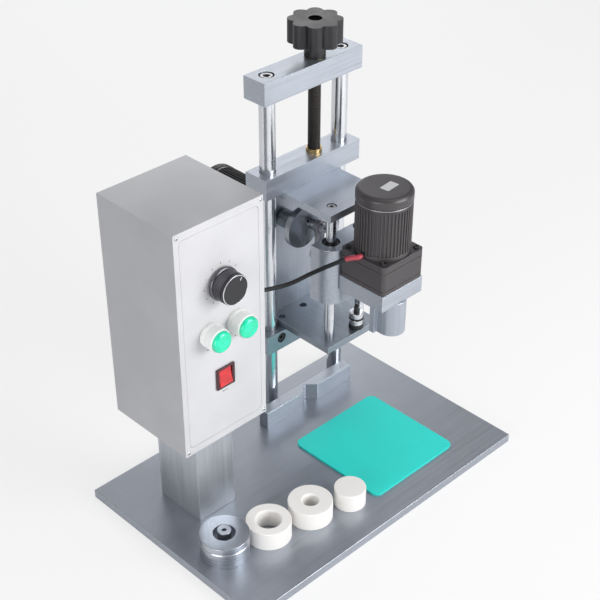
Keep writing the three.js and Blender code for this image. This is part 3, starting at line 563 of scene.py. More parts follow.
def thread_tree():
    """A trapezoidal thread: a spiral of a given length, pitch and radius, with a ridge swept along it."""
    tree = bpy.data.node_groups.new("screw_thread", "GeometryNodeTree")
    sockets(tree, (
        ("Geometry", "NodeSocketGeometry", "INPUT"),
        ("Length", "NodeSocketFloat", "INPUT"),
        ("Pitch", "NodeSocketFloat", "INPUT"),
        ("Radius", "NodeSocketFloat", "INPUT"),
        ("Depth", "NodeSocketFloat", "INPUT"),
        ("Finish", "NodeSocketMaterial", "INPUT"),
        ("Geometry", "NodeSocketGeometry", "OUTPUT"),
    ))
    add, link = tree.nodes.new, tree.links.new
    given, made = add("NodeGroupInput"), add("NodeGroupOutput")
    turns, half = add("ShaderNodeMath"), add("ShaderNodeMath")
    spiral, upright = add("GeometryNodeCurveSpiral"), add("GeometryNodeSetCurveNormal")
    ridge, sweep = add("GeometryNodeCurvePrimitiveQuadrilateral"), add("GeometryNodeCurveToMesh")
    real, paint = add("GeometryNodeRealizeInstances"), add("GeometryNodeSetMaterial")
    turns.operation, half.operation = "DIVIDE", "MULTIPLY"
    half.inputs[1].default_value = 0.56
    spiral.inputs["Resolution"].default_value = 40
    upright.mode = "Z_UP"
    ridge.mode = "RECTANGLE"
    link(given.outputs["Length"], turns.inputs[0])
    link(given.outputs["Pitch"], turns.inputs[1])
    link(turns.outputs[0], spiral.inputs["Rotations"])
    link(given.outputs["Length"], spiral.inputs["Height"])
    link(given.outputs["Radius"], spiral.inputs["Start Radius"])
    link(given.outputs["Radius"], spiral.inputs["End Radius"])
    link(given.outputs["Pitch"], half.inputs[0])
    link(given.outputs["Depth"], ridge.inputs["Width"])
    link(half.outputs[0], ridge.inputs["Height"])
    link(spiral.outputs[0], upright.inputs[0])
    link(upright.outputs[0], sweep.inputs["Curve"])
    link(ridge.outputs[0], sweep.inputs["Profile Curve"])
    sweep.inputs["Fill Caps"].default_value = True
    link(sweep.outputs[0], real.inputs[0])
    link(real.outputs[0], paint.inputs["Geometry"])
    link(given.outputs["Finish"], paint.inputs["Material"])
    link(paint.outputs[0], made.inputs[0])
    return tree


REPEAT = repeat_tree()
THREAD = thread_tree()


def grown(tree, points, values):
    """The mesh that a geometry tree makes over some points, given in metres."""
    seed = bpy.data.meshes.new("points")
    seed.from_pydata(points, [], [])
    holder = bpy.data.objects.new("points", seed)
    bpy.context.scene.collection.objects.link(holder)
    modifier = holder.modifiers.new("grow", "NODES")
    modifier.node_group = tree
    for item in tree.interface.items_tree:
        if item.in_out == "INPUT" and item.name in values:
            modifier[item.identifier] = values[item.name]
    graph = bpy.context.evaluated_depsgraph_get()
    mesh = bpy.data.meshes.new_from_object(holder.evaluated_get(graph))
    bpy.data.objects.remove(holder)
    return mesh


def repeated(shape, points, finish, at=(0, 0, 0), facing="Z", outward=1.0):
    """One mesh of a shape repeated at points (millimetres, in the facing direction's own plane)."""
    mesh = shape.mesh("pattern")
    master = bpy.data.objects.new("pattern", mesh)
    bpy.context.scene.collection.objects.link(master)
    made = grown(REPEAT, [tuple(c * MM for c in p) for p in points], {
        "Part": master, "Outward": outward, "Finish": finish,
    })
    bpy.data.objects.remove(master)
    made.transform(Matrix.Translation(Vector(at) * MM) @ FACING[facing])
    return made


def in_one(meshes, name):
    """Several meshes as one, each keeping its finishes."""
    merged = bmesh.new()
    finishes = []
    for mesh in meshes:
        shift = []
        for material in mesh.materials:
            if material not in finishes:
                finishes.append(material)
            shift.append(finishes.index(material))
        before = len(merged.faces)
        merged.from_mesh(mesh)
        merged.faces.ensure_lookup_table()
        for face in merged.faces[before:]:
            face.material_index = shift[face.material_index] if shift else 0
    made = bpy.data.meshes.new(name)
    merged.to_mesh(made)
    merged.free()
    for finish in finishes:
        made.materials.append(finish)
    made.set_sharp_from_angle(angle=math.radians(34))
    return made


def circle_points(count, radius, height=0.0, start=0.0):
    return [
        (radius * math.cos(start + math.tau * i / count),
        radius * math.sin(start + math.tau * i / count), height)
        for i in range(count)
    ]


def cap_head(radius, height, socket, finish=None, socket_shade=None):
    """A socket cap screw's head from z = 0, with its hexagon socket and rounded top edge; the socket's
    floor is a dark plug, painted shade.
    """
    finish, socket_shade = finish or BLACK_STEEL, socket_shade or INK_AND_SHADE
    head = Shape()
    hexagon = ring(socket / math.sqrt(3), sides=6)
    head.plate(ring(radius, sides=40), 0, height, finish, holes=[hexagon], ease=0.6)
    # A dark hexagon at the socket's floor: painted shade.
    head.plate(ring(socket / math.sqrt(3) + 0.2, sides=6), 0.05, height * 0.35, socket_shade, ease=0)
    return head


def pan_screw(radius, height, finish):
    """A cross-recessed pan head from z = 0; its cross recess is two dark bars standing just proud of the
    dome, painted shade.
    """
    head = Shape()
    head.turned(
        [(0, 0), (radius, 0), (radius, height * 0.45), (radius * 0.7, height * 0.86), (0, height)],
        finish, round_off=radius * 0.3, sides=28,
    )
    # Dark bars for the cross recess: painted shade, not a cut.
    for turn in (math.pi / 4, -math.pi / 4):
        slot_outline = rounded_box(radius * 1.15, radius * 0.26, radius * 0.1, 2)
        head.plate(slot_outline, height * 0.7, height * 1.02, INK_AND_SHADE, ease=0, turn=turn)
    return head


# ---------------------------------------------------------------- base and columns


def make_base():
    Shape().copied("base_plate", PLATE, 0.8).piece("base_sheet", "frame", "base_plate")

    for side in ("left", "right"):
        low, high = span(f"column_{side}")
        x, y, _ = middle(f"column_{side}")
        column = Shape().turned(
            solid_profile(12.5, low.z, high.z), CHROME, (x, y, 0), round_off=1.0,
        )
        column.piece(f"column_bar_{side}", "frame", f"column_{side}")
        low, high = span(f"beam_bolt_{side}")
        x, y, _ = middle(f"beam_bolt_{side}")
        head = cap_head(9.5, 12, 10, STEEL)
        bolt = Shape().turned(solid_profile(6, low.z, high.z - 12), STEEL, (x, y, 0))
        head = head.mesh("head")
        head.transform(Matrix.Translation(Vector((x, y, high.z - 12)) * MM))
        settled(f"beam_screw_{side}", in_one([bolt.mesh("shank"), head], f"beam_screw_{side}"), "frame",
                f"beam_bolt_{side}")

    Shape().copied("top_beam", BEAM, 0.8).piece("top_beam_bar", "frame", "top_beam")

    x, y, _ = middle("screw_bush")
    low, high = span("screw_bush")
    Shape().turned(
        hollow_profile(8.4, 15, low.z, high.z), BRASS, (x, y, 0),
    ).piece("screw_bushing", "frame", "screw_bush")

    Shape().copied("v_locator", BEAM, 0.7).piece("locator_bar", "frame", "v_locator")

    low, high = span("bottle_mat")
    x, y, _ = middle("bottle_mat")
    Shape().plate(
        rounded_box(high.x - low.x, high.y - low.y, 12, 10), low.z, high.z, MAT, (x, y, 0), ease=0.8,
    ).piece("work_mat", "frame", "bottle_mat")


# ---------------------------------------------------------------- leadscrew


def make_leadscrew():
    x, y, _ = middle("leadscrew")
    low, high = span("leadscrew")
    shoulder = span("top_beam")[0].z - 0.3
    core = Shape().turned(
        [(0, low.z), (8, low.z), (8.6, low.z + 2), (8.6, shoulder - 4), (10, shoulder - 3.5),
         (10, shoulder),
         (8, shoulder), (8, high.z), (0, high.z)],
        SCREW_STEEL, (x, y, 0), round_off=0.5,
    ).mesh("core")
    thread = grown(THREAD, [(0, 0, 0)], {
        "Length": (shoulder - 7 - low.z) * MM, "Pitch": 4 * MM, "Radius": 8.9 * MM,
        "Depth": 2.1 * MM, "Finish": SCREW_STEEL,
    })
    thread.transform(Matrix.Translation(Vector((x, y, low.z + 2)) * MM))
    settled("leadscrew_thread", in_one([core, thread], "leadscrew_thread"), "screw", "leadscrew")

    low, high = span("star_knob")
    x, y, _ = middle("screw_bush")
    lobes, steps = 8, 22
    outline = []
    for i in range(lobes * steps):
        angle = math.tau * i / (lobes * steps)
        radius = 33.5 + 8 * math.sqrt(0.5 + 0.5 * math.cos(angle * lobes))
        outline.append((radius * math.cos(angle), radius * math.sin(angle)))
    grip = low.z + 22
    knob = Shape()
    knob.plate(outline, grip, high.z, BLACK, (x, y, 0), ease=3.0)
    knob.turned(hollow_profile(9, 16.5, low.z, grip + 1), BLACK, (x, y, 0), round_off=1.5)
    knob.turned(solid_profile(11, high.z - 3, high.z), STEEL, (x, y, 0))
    knob.piece("star_handwheel", "screw", "star_knob", smooth=40)


# ---------------------------------------------------------------- head


def make_head():
    Shape().copied("head_upper_beam", BEAM, 0.8).piece("upper_crossbar", "head", "head_upper_beam")
    Shape().copied("head_lower_beam", BEAM_PAINTED_SHADE, 0.8).piece("lower_crossbar", "head", "head_lower_beam")
    Shape().copied("upper_plate", BEAM, 0.6).piece("upper_shelf", "head", "upper_plate")
    Shape().copied("lower_plate", BEAM_PAINTED_SHADE, 0.6).piece("lower_shelf", "head", "lower_plate")
    Shape().copied("back_plate", UPRIGHT, 0.6).piece("back_web", "head", "back_plate")

    x, y, _ = middle("leadscrew_nut")
    low, high = span("leadscrew_nut")
    nut = Shape().turned(
        hollow_profile(10.4, 12.5, low.z, high.z), BRASS, (x, y, 0), round_off=0.5,
    )
    nut.piece("screw_nut", "head", "leadscrew_nut")

    for side in ("left", "right"):
        x, y, _ = middle(f"guide_rod_{side}")
        low, high = span(f"guide_rod_{side}")
        Shape().turned(
            solid_profile(8, low.z, high.z), CHROME, (x, y, 0), round_off=0.8,
        ).piece(f"guide_bar_{side}", "head", f"guide_rod_{side}")
        high = span(f"rod_screw_{side}")[1]
        head = cap_head(6.5, 7, 6, STEEL).mesh("head")
        head.transform(Matrix.Translation(Vector((x, y, high.z - 7)) * MM))
        settled(f"rod_cap_screw_{side}", head, "head", f"rod_screw_{side}")

    low, high = span("clamp_screw")
    x, _, z = middle("clamp_screw")
    head = cap_head(8, 5, 6).mesh("head")
    head.transform(Matrix.Translation(Vector((x, low.y + 5, z)) * MM) @ FACING["-Y"])
    settled("column_clamp_screw", head, "head", "clamp_screw")

    x, y, _ = middle("stop_bolt")
    low, high = span("stop_bolt")
    foot = low.z + 8
    stop = Shape()
    stop.turned([(0, low.z), (12, low.z), (12, foot), (4, foot), (4, high.z), (0, high.z)], BLACK,
        (x, y, 0))
    stop.piece("stop_stud", "head", "stop_bolt")
    for name, top_ring in (("lower", False), ("upper", True)):
        x, y, _ = middle(f"stop_nut_{name}")
        low, high = span(f"stop_nut_{name}")
        nut = Shape()
        start = low.z
        if top_ring:
            nut.turned(hollow_profile(4.3, 12, start, start + 3), BLACK, (x, y, 0))
            start += 3
        nut.turned(
            hollow_profile(4.3, 11.2, start, high.z), CHROME, (x, y, 0), round_off=1.0,
        )
        nut.piece(f"stop_collar_{name}", "head", f"stop_nut_{name}")


# ---------------------------------------------------------------- gearmotors


def motor_meshes(body_finish, at, facing, gear_at, gear_length, body_length):
    """A square gearbox and its finned motor, both along their facing direction."""
    gearbox = Shape()
    square = rounded_box(90, 90, 7)
    waist = rounded_box(88.6, 88.6, 6.5)
    levels = ((0, 7, square), (7, 8, waist), (8, gear_length - 12, square),
              (gear_length - 12, gear_length - 11, waist), (gear_length - 11, gear_length, square))
    for low, high, outline in levels:
        gearbox.plate(outline, low, high, body_finish, gear_at, facing, ease=0 if high - low < 2 else 0.8)
    gear_mesh = gearbox.mesh("gearbox")

    motor = Shape()
    radius = 43.5
    cap = body_length - 16
    motor.turned(solid_profile(radius - 1.8, 0, cap - 6), body_finish, at, facing)
    motor.turned(solid_profile(radius, 0, 7), body_finish, at, facing, round_off=0.8)
    motor.turned(
        [(0, cap - 7), (radius, cap - 7), (radius, cap - 5), (radius - 1.2, cap - 4.6),
         (radius - 1.2, cap - 1),
         (radius + 0.4, cap - 0.6), (radius + 0.4, body_length - 5), (radius - 2.5, body_length - 1.2),
         (radius - 6, body_length), (0, body_length)],
        body_finish, at, facing, round_off=1.2, sides=128,
    )
    motor.turned(
        hollow_profile(radius - 2, radius - 0.2, cap - 3.6, cap - 2.4),
        STEEL, at, facing, round_off=0.3, sides=128,
    )
    rib = Shape().plate(rounded_box(2.6, 3.0, 1.2, 3), 6.5, cap - 6.5, body_finish, ease=0)
    fins = repeated(rib, circle_points(48, radius - 1.3), body_finish, at, facing)
    return gear_mesh, motor.mesh("motor"), fins


def make_motors():
    low, high = span("capping_gearbox")
    x, y, _ = middle("capping_gearbox")
    body_low, body_high = span("capping_motor")
    gear, body, fins = motor_meshes(
        MOTOR_PAINT, (x, y, body_low.z), "Z", (x, y, low.z), high.z - low.z, body_high.z - body_low.z,
    )
    corners = [(sx * 36, sy * 36, 0) for sx in (-1, 1) for sy in (-1, 1)]
    bolts = repeated(cap_head(4.4, 3.2, 4), corners, BLACK_STEEL, (x, y, high.z - 0.1), outward=0)
    settled("capping_gearcase", in_one([gear, bolts], "capping_gearcase"), "carriage", "capping_gearbox")
    label = Shape().plate(
        rounded_box(27, 16, 1.5, 3), 0, 0.4, PALE_LABEL, (x + 5, y - 4, body_high.z - 0.35), ease=0.12,
        turn=0.1,
    ).mesh("label")
    settled("capping_motor_body", in_one([body, fins, label], "capping_motor_body"), "carriage",
        "capping_motor")

    low, high = span("lift_gearbox")
    x, _, z = middle("lift_gearbox")
    body_low, body_high = span("lift_motor")
    gear, body, fins = motor_meshes(
        REAR_PAINT, (x, body_low.y, z), "Y", (x, low.y, z), high.y - low.y, body_high.y - body_low.y,
    )
    bolts = repeated(cap_head(4.4, 3.2, 4), corners, BLACK_STEEL, (x, high.y - 0.1, z), "Y", outward=0)
    settled("lift_gearcase", in_one([gear, bolts], "lift_gearcase"), "head", "lift_gearbox")
    settled("lift_motor_body", in_one([body, fins], "lift_motor_body"), "head", "lift_motor")


# ---------------------------------------------------------------- slide block, spindle and crank


def make_carriage():
    low, high = span("slide_block")
    rods = [middle(f"bush_{side}") for side in ("left", "right")]
    nose = (high.x - low.x - (rods[1].x - rods[0].x)) / 2
    outline = [(low.x, high.y)]
    for k in range(25):
        angle = math.pi + math.pi / 2 * k / 24
        outline.append((rods[0].x + nose * math.cos(angle), rods[0].y + nose * math.sin(angle)))
    for k in range(25):
        angle = math.pi * 1.5 + math.pi / 2 * k / 24
        outline.append((rods[1].x + nose * math.cos(angle), rods[1].y + nose * math.sin(angle)))
    outline.append((high.x, high.y))
    bores = [ring(14.3, (c.x, c.y)) for c in rods]
    Shape().plate(outline, low.z, high.z, BEAM, holes=bores, ease=0.8).piece("slide_body", "carriage",
        "slide_block")
    for side, c in zip(("left", "right"), rods):
        low, high = span(f"bush_{side}")
        Shape().turned(
            hollow_profile(8.4, 14, low.z, high.z), BLACK, (c.x, c.y, 0),
        ).piece(f"linear_bearing_{side}", "carriage", f"bush_{side}")

    Shape().copied("motor_bracket", BEAM, 0.8).piece("motor_shelf", "carriage", "motor_bracket")
    Shape().copied("spindle_housing", UPRIGHT, 0.6).piece("spindle_nose", "carriage", "spindle_housing")

    x, y, _ = middle("spindle")
    low, high = span("spindle")
    shoulder = low.z + 55
    Shape().turned(
        [(0, low.z + 30), (6, low.z + 30), (6, low.z), (15.7, low.z), (15.7, shoulder), (7.5, shoulder),
         (7.5, high.z), (0, high.z)],
        STEEL, (x, y, 0),
    ).piece("spindle_sleeve", "spindle", "spindle")

    x, _, z = middle("link_bolt")
    low, high = span("link_bolt")
    bolt = Shape()
    bolt.turned(
        [(0, low.y), (11, low.y), (11, low.y + 27), (4.5, low.y + 27), (4.5, high.y - 5), (9, high.y - 5),
         (9, high.y), (0, high.y)],
        STEEL, (x, 0, z), "Y",
    )
    bolt.piece("link_stud", "carriage", "link_bolt")


def make_crank():
    low, high = span("crank_disc")
    x, _, z = middle("crank_disc")
    disc = Shape()
    disc.plate(ring(34, sides=128), -11, 0, TURNED_Y, (x, low.y, z), "-Y",
        holes=[ring(3, (8.8, 8.6), 24)], ease=0.9)
    disc.turned(solid_profile(15, -46.5, -11), TURNED_Y, (x, low.y, z), "-Y")
    disc.turned(solid_profile(7.5, low.y - high.y, -46), STEEL, (x, low.y, z), "-Y")
    # A dark plug in the lower part of the disc's hole: painted shade where the hole would show the hub
    # behind it.
    disc.plate(ring(3.4, (8.8, 8.6), 24), -11.2, -6, INK_AND_SHADE, (x, low.y, z), "-Y", ease=0)
    disc.piece("crank_wheel", "crank", "crank_disc")

    px, _, pz = middle("crank_pin")
    front = span("crank_link")
    pin = Shape().turned(
        [(0, 0.3), (9, 0.3), (9, 8.7), (5.6, 8.7), (5.6, 19.3), (9, 19.3), (9, 24.3), (3.2, 24.3),
         (3.2, 21.5), (0, 21.5)],
        STEEL, (px, low.y, pz), "-Y",
    )
    pin.piece("crank_stud", "crank", "crank_pin")

    low, high = front
    top, foot = (px, pz), (px, low.z + 12.5)
    outline = []
    for k in range(25):
        angle = math.pi * k / 24
        outline.append((top[0] + 11.5 * math.cos(angle), top[1] + 11.5 * math.sin(angle)))
    outline.append((px - 6.5, top[1] - 11))
    outline.append((px - 6.5, foot[1] + 12))
    for k in range(25):
        angle = math.pi * 0.75 + math.pi * 1.5 * k / 24
        outline.append((foot[0] + 12.5 * math.cos(angle), foot[1] + 12.5 * math.sin(angle)))
    outline.append((px + 6.5, foot[1] + 12))
    outline.append((px + 6.5, top[1] - 11))
    holes = [ring(6, top, 40), ring(7.3, foot, 40)]
    Shape().plate(outline, 0, high.y - low.y, STEEL_FLAT, (0, high.y, 0), "-Y", holes=holes,
        ease=0.7).piece(
        "link_bar", "link", "crank_link")


# ---------------------------------------------------------------- control box


def make_box():
    case = Shape().copied("box_shell", BOX_PAINT, 1.2)
    case.finishes.append(PANEL_PAINT)
    # The front-facing faces of the shell take the lighter, matte panel paint: painted light, the front of
    # one paint lit brighter than its sides.
    front_y = span("box_shell")[0].y
    for face in case.bm.faces:
        if face.normal.y < -0.5 and face.calc_center_median().y < front_y + 3:
            face.material_index = 1
    case.piece("box_case", "frame", "box_shell")
    Shape().copied("box_post", POST, 1.2).piece("post_tube", "frame", "box_post")

    low, high = span("control_panel")
    x, _, z = middle("control_panel")
    front = low.y
    width, height = high.x - low.x, high.z - low.z
    knob, left, right = middle("speed_knob"), middle("button_left"), middle("button_right")
    rocker = middle("rocker_frame")
    holes = [
        ring(5.3, (0, knob.z - z), 32),
        ring(11.3, (left.x - x, left.z - z), 48),
        ring(11.3, (right.x - x, right.z - z), 48),
        [(px * 14, rocker.z - z + py * 15) for px, py in ((-1, -1), (1, -1), (1, 1), (-1, 1))],
    ]
    panel = Shape().plate(
        rounded_box(width, height, 8, 10), -2, 0, PANEL_PAINT, (x, front, z), "-Y", holes=holes, ease=0.3,
    ).mesh("panel")
    rim_low, rim_high = span("box_shell")
    across, up = (rim_high.x - rim_low.x) / 2 - 5.2, (rim_high.z - rim_low.z) / 2 - 6
    places = [(sx * across, sz * up, -0.1) for sx in (-1, 1) for sz in (-1, 1)]
    screws = repeated_kept(pan_screw(2.9, 1.6, CHROME), places, (x, front, (rim_low.z + rim_high.z) / 2),
        "-Y")
    print_marks = legend(knob, left, right, rocker, x, z, front)
    settled("panel_plate", in_one([panel, screws, *print_marks], "panel_plate"), "frame", "control_panel")

    make_speed_control(front)
    make_buttons(front)
    make_rocker(front)
    make_glands()
    Shape().copied("speed_controller", CASE, 1.5).piece("speed_drive", "frame", "speed_controller")


def repeated_kept(shape, points, at, facing):
    """A shape with several finishes, repeated: each finish is grown on its own."""
    mesh = shape.mesh("pattern")
    made = []
    for index, finish in enumerate(mesh.materials):
        part = Shape()
        part.bm.from_mesh(mesh)
        part.bm.faces.ensure_lookup_table()
        others = [f for f in part.bm.faces if f.material_index != index]
        bmesh.ops.delete(part.bm, geom=others, context="FACES")
        bmesh.ops.scale(part.bm, vec=(1 / MM,) * 3, verts=part.bm.verts)
        for face in part.bm.faces:
            face.material_index = 0
        part.finishes = [finish]
        made.append(repeated(part, points, finish, at, facing, 0.0))
    return in_one(made, "pattern")


def legend(knob, left, right, rocker, x, z, front):
    """Plain marks by the controls: scale ticks round the knob and short bars under the others."""
    ticks = Shape().plate(rounded_box(3.2, 0.7, 0.3, 2), 0, 0.12, INK_AND_SHADE, ease=0)
    arc = []
    for i in range(11):
        angle = math.radians(-60 + 30 * i)
        arc.append((30.5 * math.cos(angle), 30.5 * math.sin(angle), 0))
    marks = [repeated(ticks, arc, INK_AND_SHADE, (knob.x, front + 0.02, knob.z), "-Y")]
    for part, drop in ((left, 25), (right, 25), (rocker, 25)):
        bar = Shape()
        for k, wide in enumerate((5.0, 3.4)):
            bar.plate(
                rounded_box(wide, 1.1, 0.4, 2), 0, 0.12, INK_AND_SHADE,
                (part.x - 3 + k * 5.6, front + 0.02, part.z - drop), "-Y", ease=0,
            )
        marks.append(bar.mesh("bar"))
    return marks


def make_speed_control(front):
    x, _, z = middle("speed_knob")
    Shape().turned(
        [(3.4, -8), (12, -8), (12, -2), (5, -2), (5, 1.5), (3.4, 1.5), (3.4, -8)], STEEL, (x, front, z),
        "-Y",
    ).piece("speed_spindle_bush", "frame", "speed_pot")
    knob = Shape()
    knob.turned(solid_profile(3, -8, 4), STEEL, (x, front, z), "-Y", round_off=0.3)
    knob.turned(
        [(0, 3), (25, 3), (25, 7), (23.4, 8), (0, 8)], DARK_CHROME, (x, front, z), "-Y", round_off=0.8,
    )
    knob.turned([(0, 7), (22.6, 7), (21.8, 24), (0, 24)], DARK_CHROME, (x, front, z), "-Y", round_off=0.4)
    knob.turned(
        [(0, 23.5), (22.2, 23.5), (22.9, 24.4), (22.9, 27.6), (21.8, 28.7), (0, 28.7)],
        BLACK, (x, front, z), "-Y", round_off=0.5,
    )
    knob.turned(
        [(21.2, 28.2), (22.4, 28.2), (22.2, 29), (21.2, 29), (21.2, 28.2)], CHROME, (x, front, z), "-Y",
        round_off=0.2,
    )
    knob.plate(rounded_box(1.4, 5, 0.6, 3), 28.5, 28.95, PALE_LABEL, (x + 10, front, z + 14), "-Y",
        ease=0.1, turn=-0.62)
    body = knob.mesh("knob")
    tooth = Shape().plate(rounded_box(1.6, 1.2, 0.5, 3), 8.6, 23.6, DARK_CHROME, ease=0)
    teeth = repeated(tooth, circle_points(72, 22.4), DARK_CHROME, (x, front, z), "-Y")
    settled("speed_dial", in_one([body, teeth], "speed_dial"), "speed_knob", "speed_knob")


def make_buttons(front):
    for side in ("left", "right"):
        x, _, z = middle(f"button_housing_{side}")
        bezel = Shape()
        bezel.turned(
            [(6.4, -24), (11, -24), (11, 0.3), (18, 0.3), (18, 6), (17.2, 7), (17.2, 9), (18, 10),
             (18, 22.5),
             (16.5, 24), (16.4, 24), (16.4, 12), (6.4, 12), (6.4, -24)],
            WHITE, (x, front, z), "-Y", round_off=0.5,
        )
        bezel.plate(rounded_box(30, 30, 2), 25, 36, GLOSS_BLACK, (x, front, z), "Y", ease=1)
        bezel.turned(hollow_profile(11.4, 15, 2.2, 6), STEEL, (x, front, z), "Y")
        bezel.piece(f"button_bezel_{side}", "frame", f"button_housing_{side}")
        lens = Shape()
        lens.turned(
            [(0, 2), (6, 2), (6, 16), (16, 16), (16, 27.6), (13.4, 30.2), (8, 30.9), (0, 31)],
            GREEN, (x, front, z), "-Y", round_off=1.6,
        )
        lens.turned(
            [(9.6, 30.2), (10.8, 30.2), (10.8, 30.86), (9.6, 30.98), (9.6, 30.2)], GREEN, (x, front, z),
            "-Y",
            round_off=0.2,
        )
        lens.piece(f"button_lens_{side}", f"{side}_button", f"button_{side}")


def make_rocker(front):
    Shape().copied("rocker_frame", GLOSS_BLACK, 0.7).piece("rocker_bezel", "frame", "rocker_frame")
    Shape().copied("rocker_button", RED, 0.5, 60).piece("rocker_paddle", "rocker", "rocker_button")


def make_glands():
    for node, facing in (("motor_gland", "X"), ("mains_gland", "Y")):
        x, y, z = middle(node)
        if facing == "X":
            wall = span("box_shell")[1].x
            at = (wall, y, z)
        else:
            wall = span("box_shell")[1].y
            at = (x, wall, z)
        gland = Shape()
        gland.plate(ring(10, sides=6), 0.3, 6, BLACK, at, facing, ease=0.6)
        gland.turned(
            [(0, -6.5), (6, -6.5), (6, 0.5), (8, 0.5), (8, 15), (5, 20), (0, 20)], BLACK, at, facing,
            round_off=0.8,
        )
        body = gland.mesh("gland")
        rib = Shape().plate(rounded_box(1.6, 1.1, 0.4, 2), 6.5, 14.5, BLACK, ease=0)
        ribs = repeated(rib, circle_points(20, 7.9), BLACK, at, facing)
        settled(f"{node}_nut", in_one([body, ribs], f"{node}_nut"), "frame", node)


# ---------------------------------------------------------------- change parts


def make_change_parts():
    for node, bore in (("insert_large_bore", 19), ("insert_small_bore", 12.5), ("insert_solid", 0)):
        low, high = span(node)
        x, y, _ = middle(node)
        radius = (high.x - low.x) / 2
        if bore:
            points = [(bore, low.z), (radius, low.z), (radius, high.z), (bore + 1.5, high.z),
                (bore, high.z - 1.5), (bore, low.z)]
        else:
            points = solid_profile(radius, low.z, high.z)
        Shape().turned(points, NYLON, (x, y, 0), round_off=1.2, sides=128).piece(f"{node}_ring", "frame",
            node)

    x, y, _ = middle("capping_chuck")
    low, _ = span("capping_chuck")
    z = low.z
    Shape().turned(
        [(0, z), (38, z), (38, z + 27), (36.8, z + 28), (36.8, z + 29.5), (38, z + 30.5), (38, z + 40),
         (17, z + 40),
         (17, z + 20), (10.5, z + 20), (10.5, z + 46), (3.5, z + 46), (3.5, z + 34), (0, z + 34)],
        TURNED, (x, y, 0), round_off=0.8, sides=128,
    ).piece("chuck_body", "frame", "capping_chuck")


# ---------------------------------------------------------------- motor cable


def make_cable():
    motor, gland = span("capping_motor")[0], span("motor_gland")
    centre = middle("capping_motor")
    side = centre.x - 43.5
    nose_x, nose = gland[1].x, middle("motor_gland")
    split = Vector((21, 62, 320))
    exit_z = motor.z + 4.6
    route = [
        Vector((side - 0.6, centre.y, exit_z)), Vector((side - 8, centre.y, exit_z)),
        Vector((side - 18, centre.y + 11, exit_z - 3)), Vector((58, 14, 358)), Vector((45, 42, 336)),
        split,
        Vector((-12, 78, 317)), Vector((-50, nose.y - 2, nose.z - 2)),
        Vector((nose_x + 10, nose.y, nose.z)),
        Vector((nose_x + 0.3, nose.y, nose.z)),
    ]
    line = smooth_line(route)
    nearest = min(range(len(line)), key=lambda i: (line[i] - split).length)
    upper, lower = line[:nearest + 1], line[nearest:]
    for name, part, ends, start, end in (
        ("motor_lead_upper", upper, ("carriage", "head"), line[0], split),
        ("motor_lead_lower", lower, ("head", "frame"), split, line[-1]),
    ):
        shape = Shape()
        tube(shape, part, 3.45, RUBBER)
        if name == "motor_lead_upper":
            sleeve = [p for p in part if (p - line[0]).length < 26]
            tube(shape, sleeve, 4.1, SLEEVE)
            tube(shape, sleeve[:6], 5.2, RUBBER)
        piece = bpy.data.objects.new(name, shape.mesh(name, 60))
        bpy.context.scene.collection.objects.link(piece)
        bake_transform(piece)
        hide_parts(name.replace("lead", "cable"))
        length = sum((b - a).length for a, b in zip(part, part[1:]))
        tuple(part[0] * MM)
        [tuple(p * MM) for p in part[::2] + part[-1:]]


def smooth_line(points, steps=12):
    """A centripetal curve through the points, straight at both ends."""
    ends = [points[0] * 2 - points[1], *points, points[-1] * 2 - points[-2]]
    line = []
    for p0, p1, p2, p3 in zip(ends, ends[1:], ends[2:], ends[3:]):
        t0 = 0.0
        t1 = t0 + (p1 - p0).length ** 0.5
        t2 = t1 + (p2 - p1).length ** 0.5
        t3 = t2 + (p3 - p2).length ** 0.5
        for k in range(steps):
            t = t1 + (t2 - t1) * k / steps
            a1 = p0 * ((t1 - t) / (t1 - t0)) + p1 * ((t - t0) / (t1 - t0))
            a2 = p1 * ((t2 - t) / (t2 - t1)) + p2 * ((t - t1) / (t2 - t1))
            a3 = p2 * ((t3 - t) / (t3 - t2)) + p3 * ((t - t2) / (t3 - t2))
            b1 = a1 * ((t2 - t) / (t2 - t0)) + a2 * ((t - t0) / (t2 - t0))
            b2 = a2 * ((t3 - t) / (t3 - t1)) + a3 * ((t - t1) / (t3 - t1))
            line.append(b1 * ((t2 - t) / (t2 - t1)) + b2 * ((t - t1) / (t2 - t1)))
    line.append(points[-1].copy())
    return line


def tube(shape, line, radius, finish, sides=16):
    """A round tube along a line, with closed ends."""
    part = bmesh.new()
    part.faces.layers.float.new("edge")
    rows = []
    across = None
    for i, point in enumerate(line):
        ahead = (line[min(i + 1, len(line) - 1)] - line[max(i - 1, 0)]).normalized()
        across = ahead.orthogonal() if across is None else across - ahead * across.dot(ahead)
        across.normalize()
        other = ahead.cross(across)
        rows.append([
            part.verts.new(point + (across * math.cos(a) + other * math.sin(a)) * radius)
            for a in (math.tau * k / sides for k in range(sides))
        ])
    for low, high in zip(rows, rows[1:]):
        for k in range(sides):
            j = (k + 1) % sides
            part.faces.new((low[k], low[j], high[j], high[k]))
    part.faces.new(rows[0])
    part.faces.new(rows[-1])
    shape._settle(part, finish, (0, 0, 0), "Z")


# ---------------------------------------------------------------- floor and light


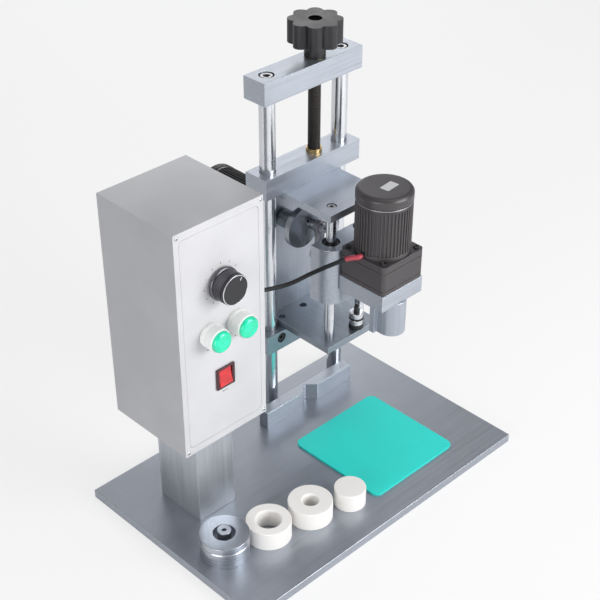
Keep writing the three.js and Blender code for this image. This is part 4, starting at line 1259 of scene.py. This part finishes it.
def make_studio():
    scene = bpy.context.scene
    scene.view_settings.view_transform = "Standard"

    floor_mesh = bpy.data.meshes.new("floor")
    floor_mesh.from_pydata([(-8, -8, 0), (8, -8, 0), (8, 8, 0), (-8, 8, 0)], [], [(0, 1, 2, 3)])
    floor = bpy.data.objects.new("floor", floor_mesh)
    scene.collection.objects.link(floor)
    white = Finish("pale_floor", Roughness=0.9)
    white.feed(Base_Color=(0.86, 0.86, 0.87, 1))
    path = white.tree.nodes.new("ShaderNodeLightPath")
    seen = Signal(white, path.outputs["Is Camera Ray"])
    mirrored = Signal(white, path.outputs["Is Glossy Ray"])
    glow = white.node("ShaderNodeEmission", {}, {"Color": (1, 1, 1, 1), "Strength": 1.0})
    share = seen * 0.72 + mirrored * 0.3
    both = white.tree.nodes.new("ShaderNodeMixShader")
    white._join(both.inputs[0], share)
    white.tree.links.new(white.shader.outputs[0], both.inputs[1])
    white.tree.links.new(glow.socket, both.inputs[2])
    white.tree.links.new(both.outputs[0], white.tree.nodes["Material Output"].inputs[0])
    floor_mesh.materials.append(white.material)

    world = bpy.data.worlds.new("studio")
    scene.world = world
    world.use_nodes = True
    nodes, links = world.node_tree.nodes, world.node_tree.links
    background = nodes["Background"]
    path = nodes.new("ShaderNodeLightPath")
    mix = nodes.new("ShaderNodeMix")
    mix.data_type = "RGBA"
    mix.inputs[6].default_value = (0.29, 0.29, 0.30, 1)
    mix.inputs[7].default_value = (1, 1, 1, 1)
    links.new(path.outputs["Is Camera Ray"], mix.inputs[0])
    links.new(mix.outputs[2], background.inputs[0])

    for name, place, aim, size, watts, tint in (
        ("key", (0.9, -2.3, 1.25), (0, 0, 0.3), (1.7, 1.3), 62, (1, 1, 1)),
        ("side", (-2.4, -0.7, 0.75), (0, 0, 0.3), (1.6, 1.6), 30, (1, 1, 1)),
        ("top", (0.5, -0.3, 2.6), (0, 0, 0.3), (1.8, 1.8), 9, (1, 1, 1)),
        ("back", (1.6, 2.2, 1.3), (0.1, 0, 0.2), (1.6, 0.8), 12, (1, 1, 1)),
    ):
        data = bpy.data.lights.new(name, "AREA")
        data.shape = "RECTANGLE"
        data.size, data.size_y = size
        data.energy = watts
        data.color = tint
        lamp = bpy.data.objects.new(name, data)
        toward = Vector(aim) - Vector(place)
        lamp.matrix_world = Matrix.Translation(place) @ toward.to_track_quat("-Z",
            "Y").to_matrix().to_4x4()
        scene.collection.objects.link(lamp)


make_cable()
make_base()
make_leadscrew()
make_head()
make_motors()
make_carriage()
make_crank()
make_box()
make_change_parts()
make_studio()
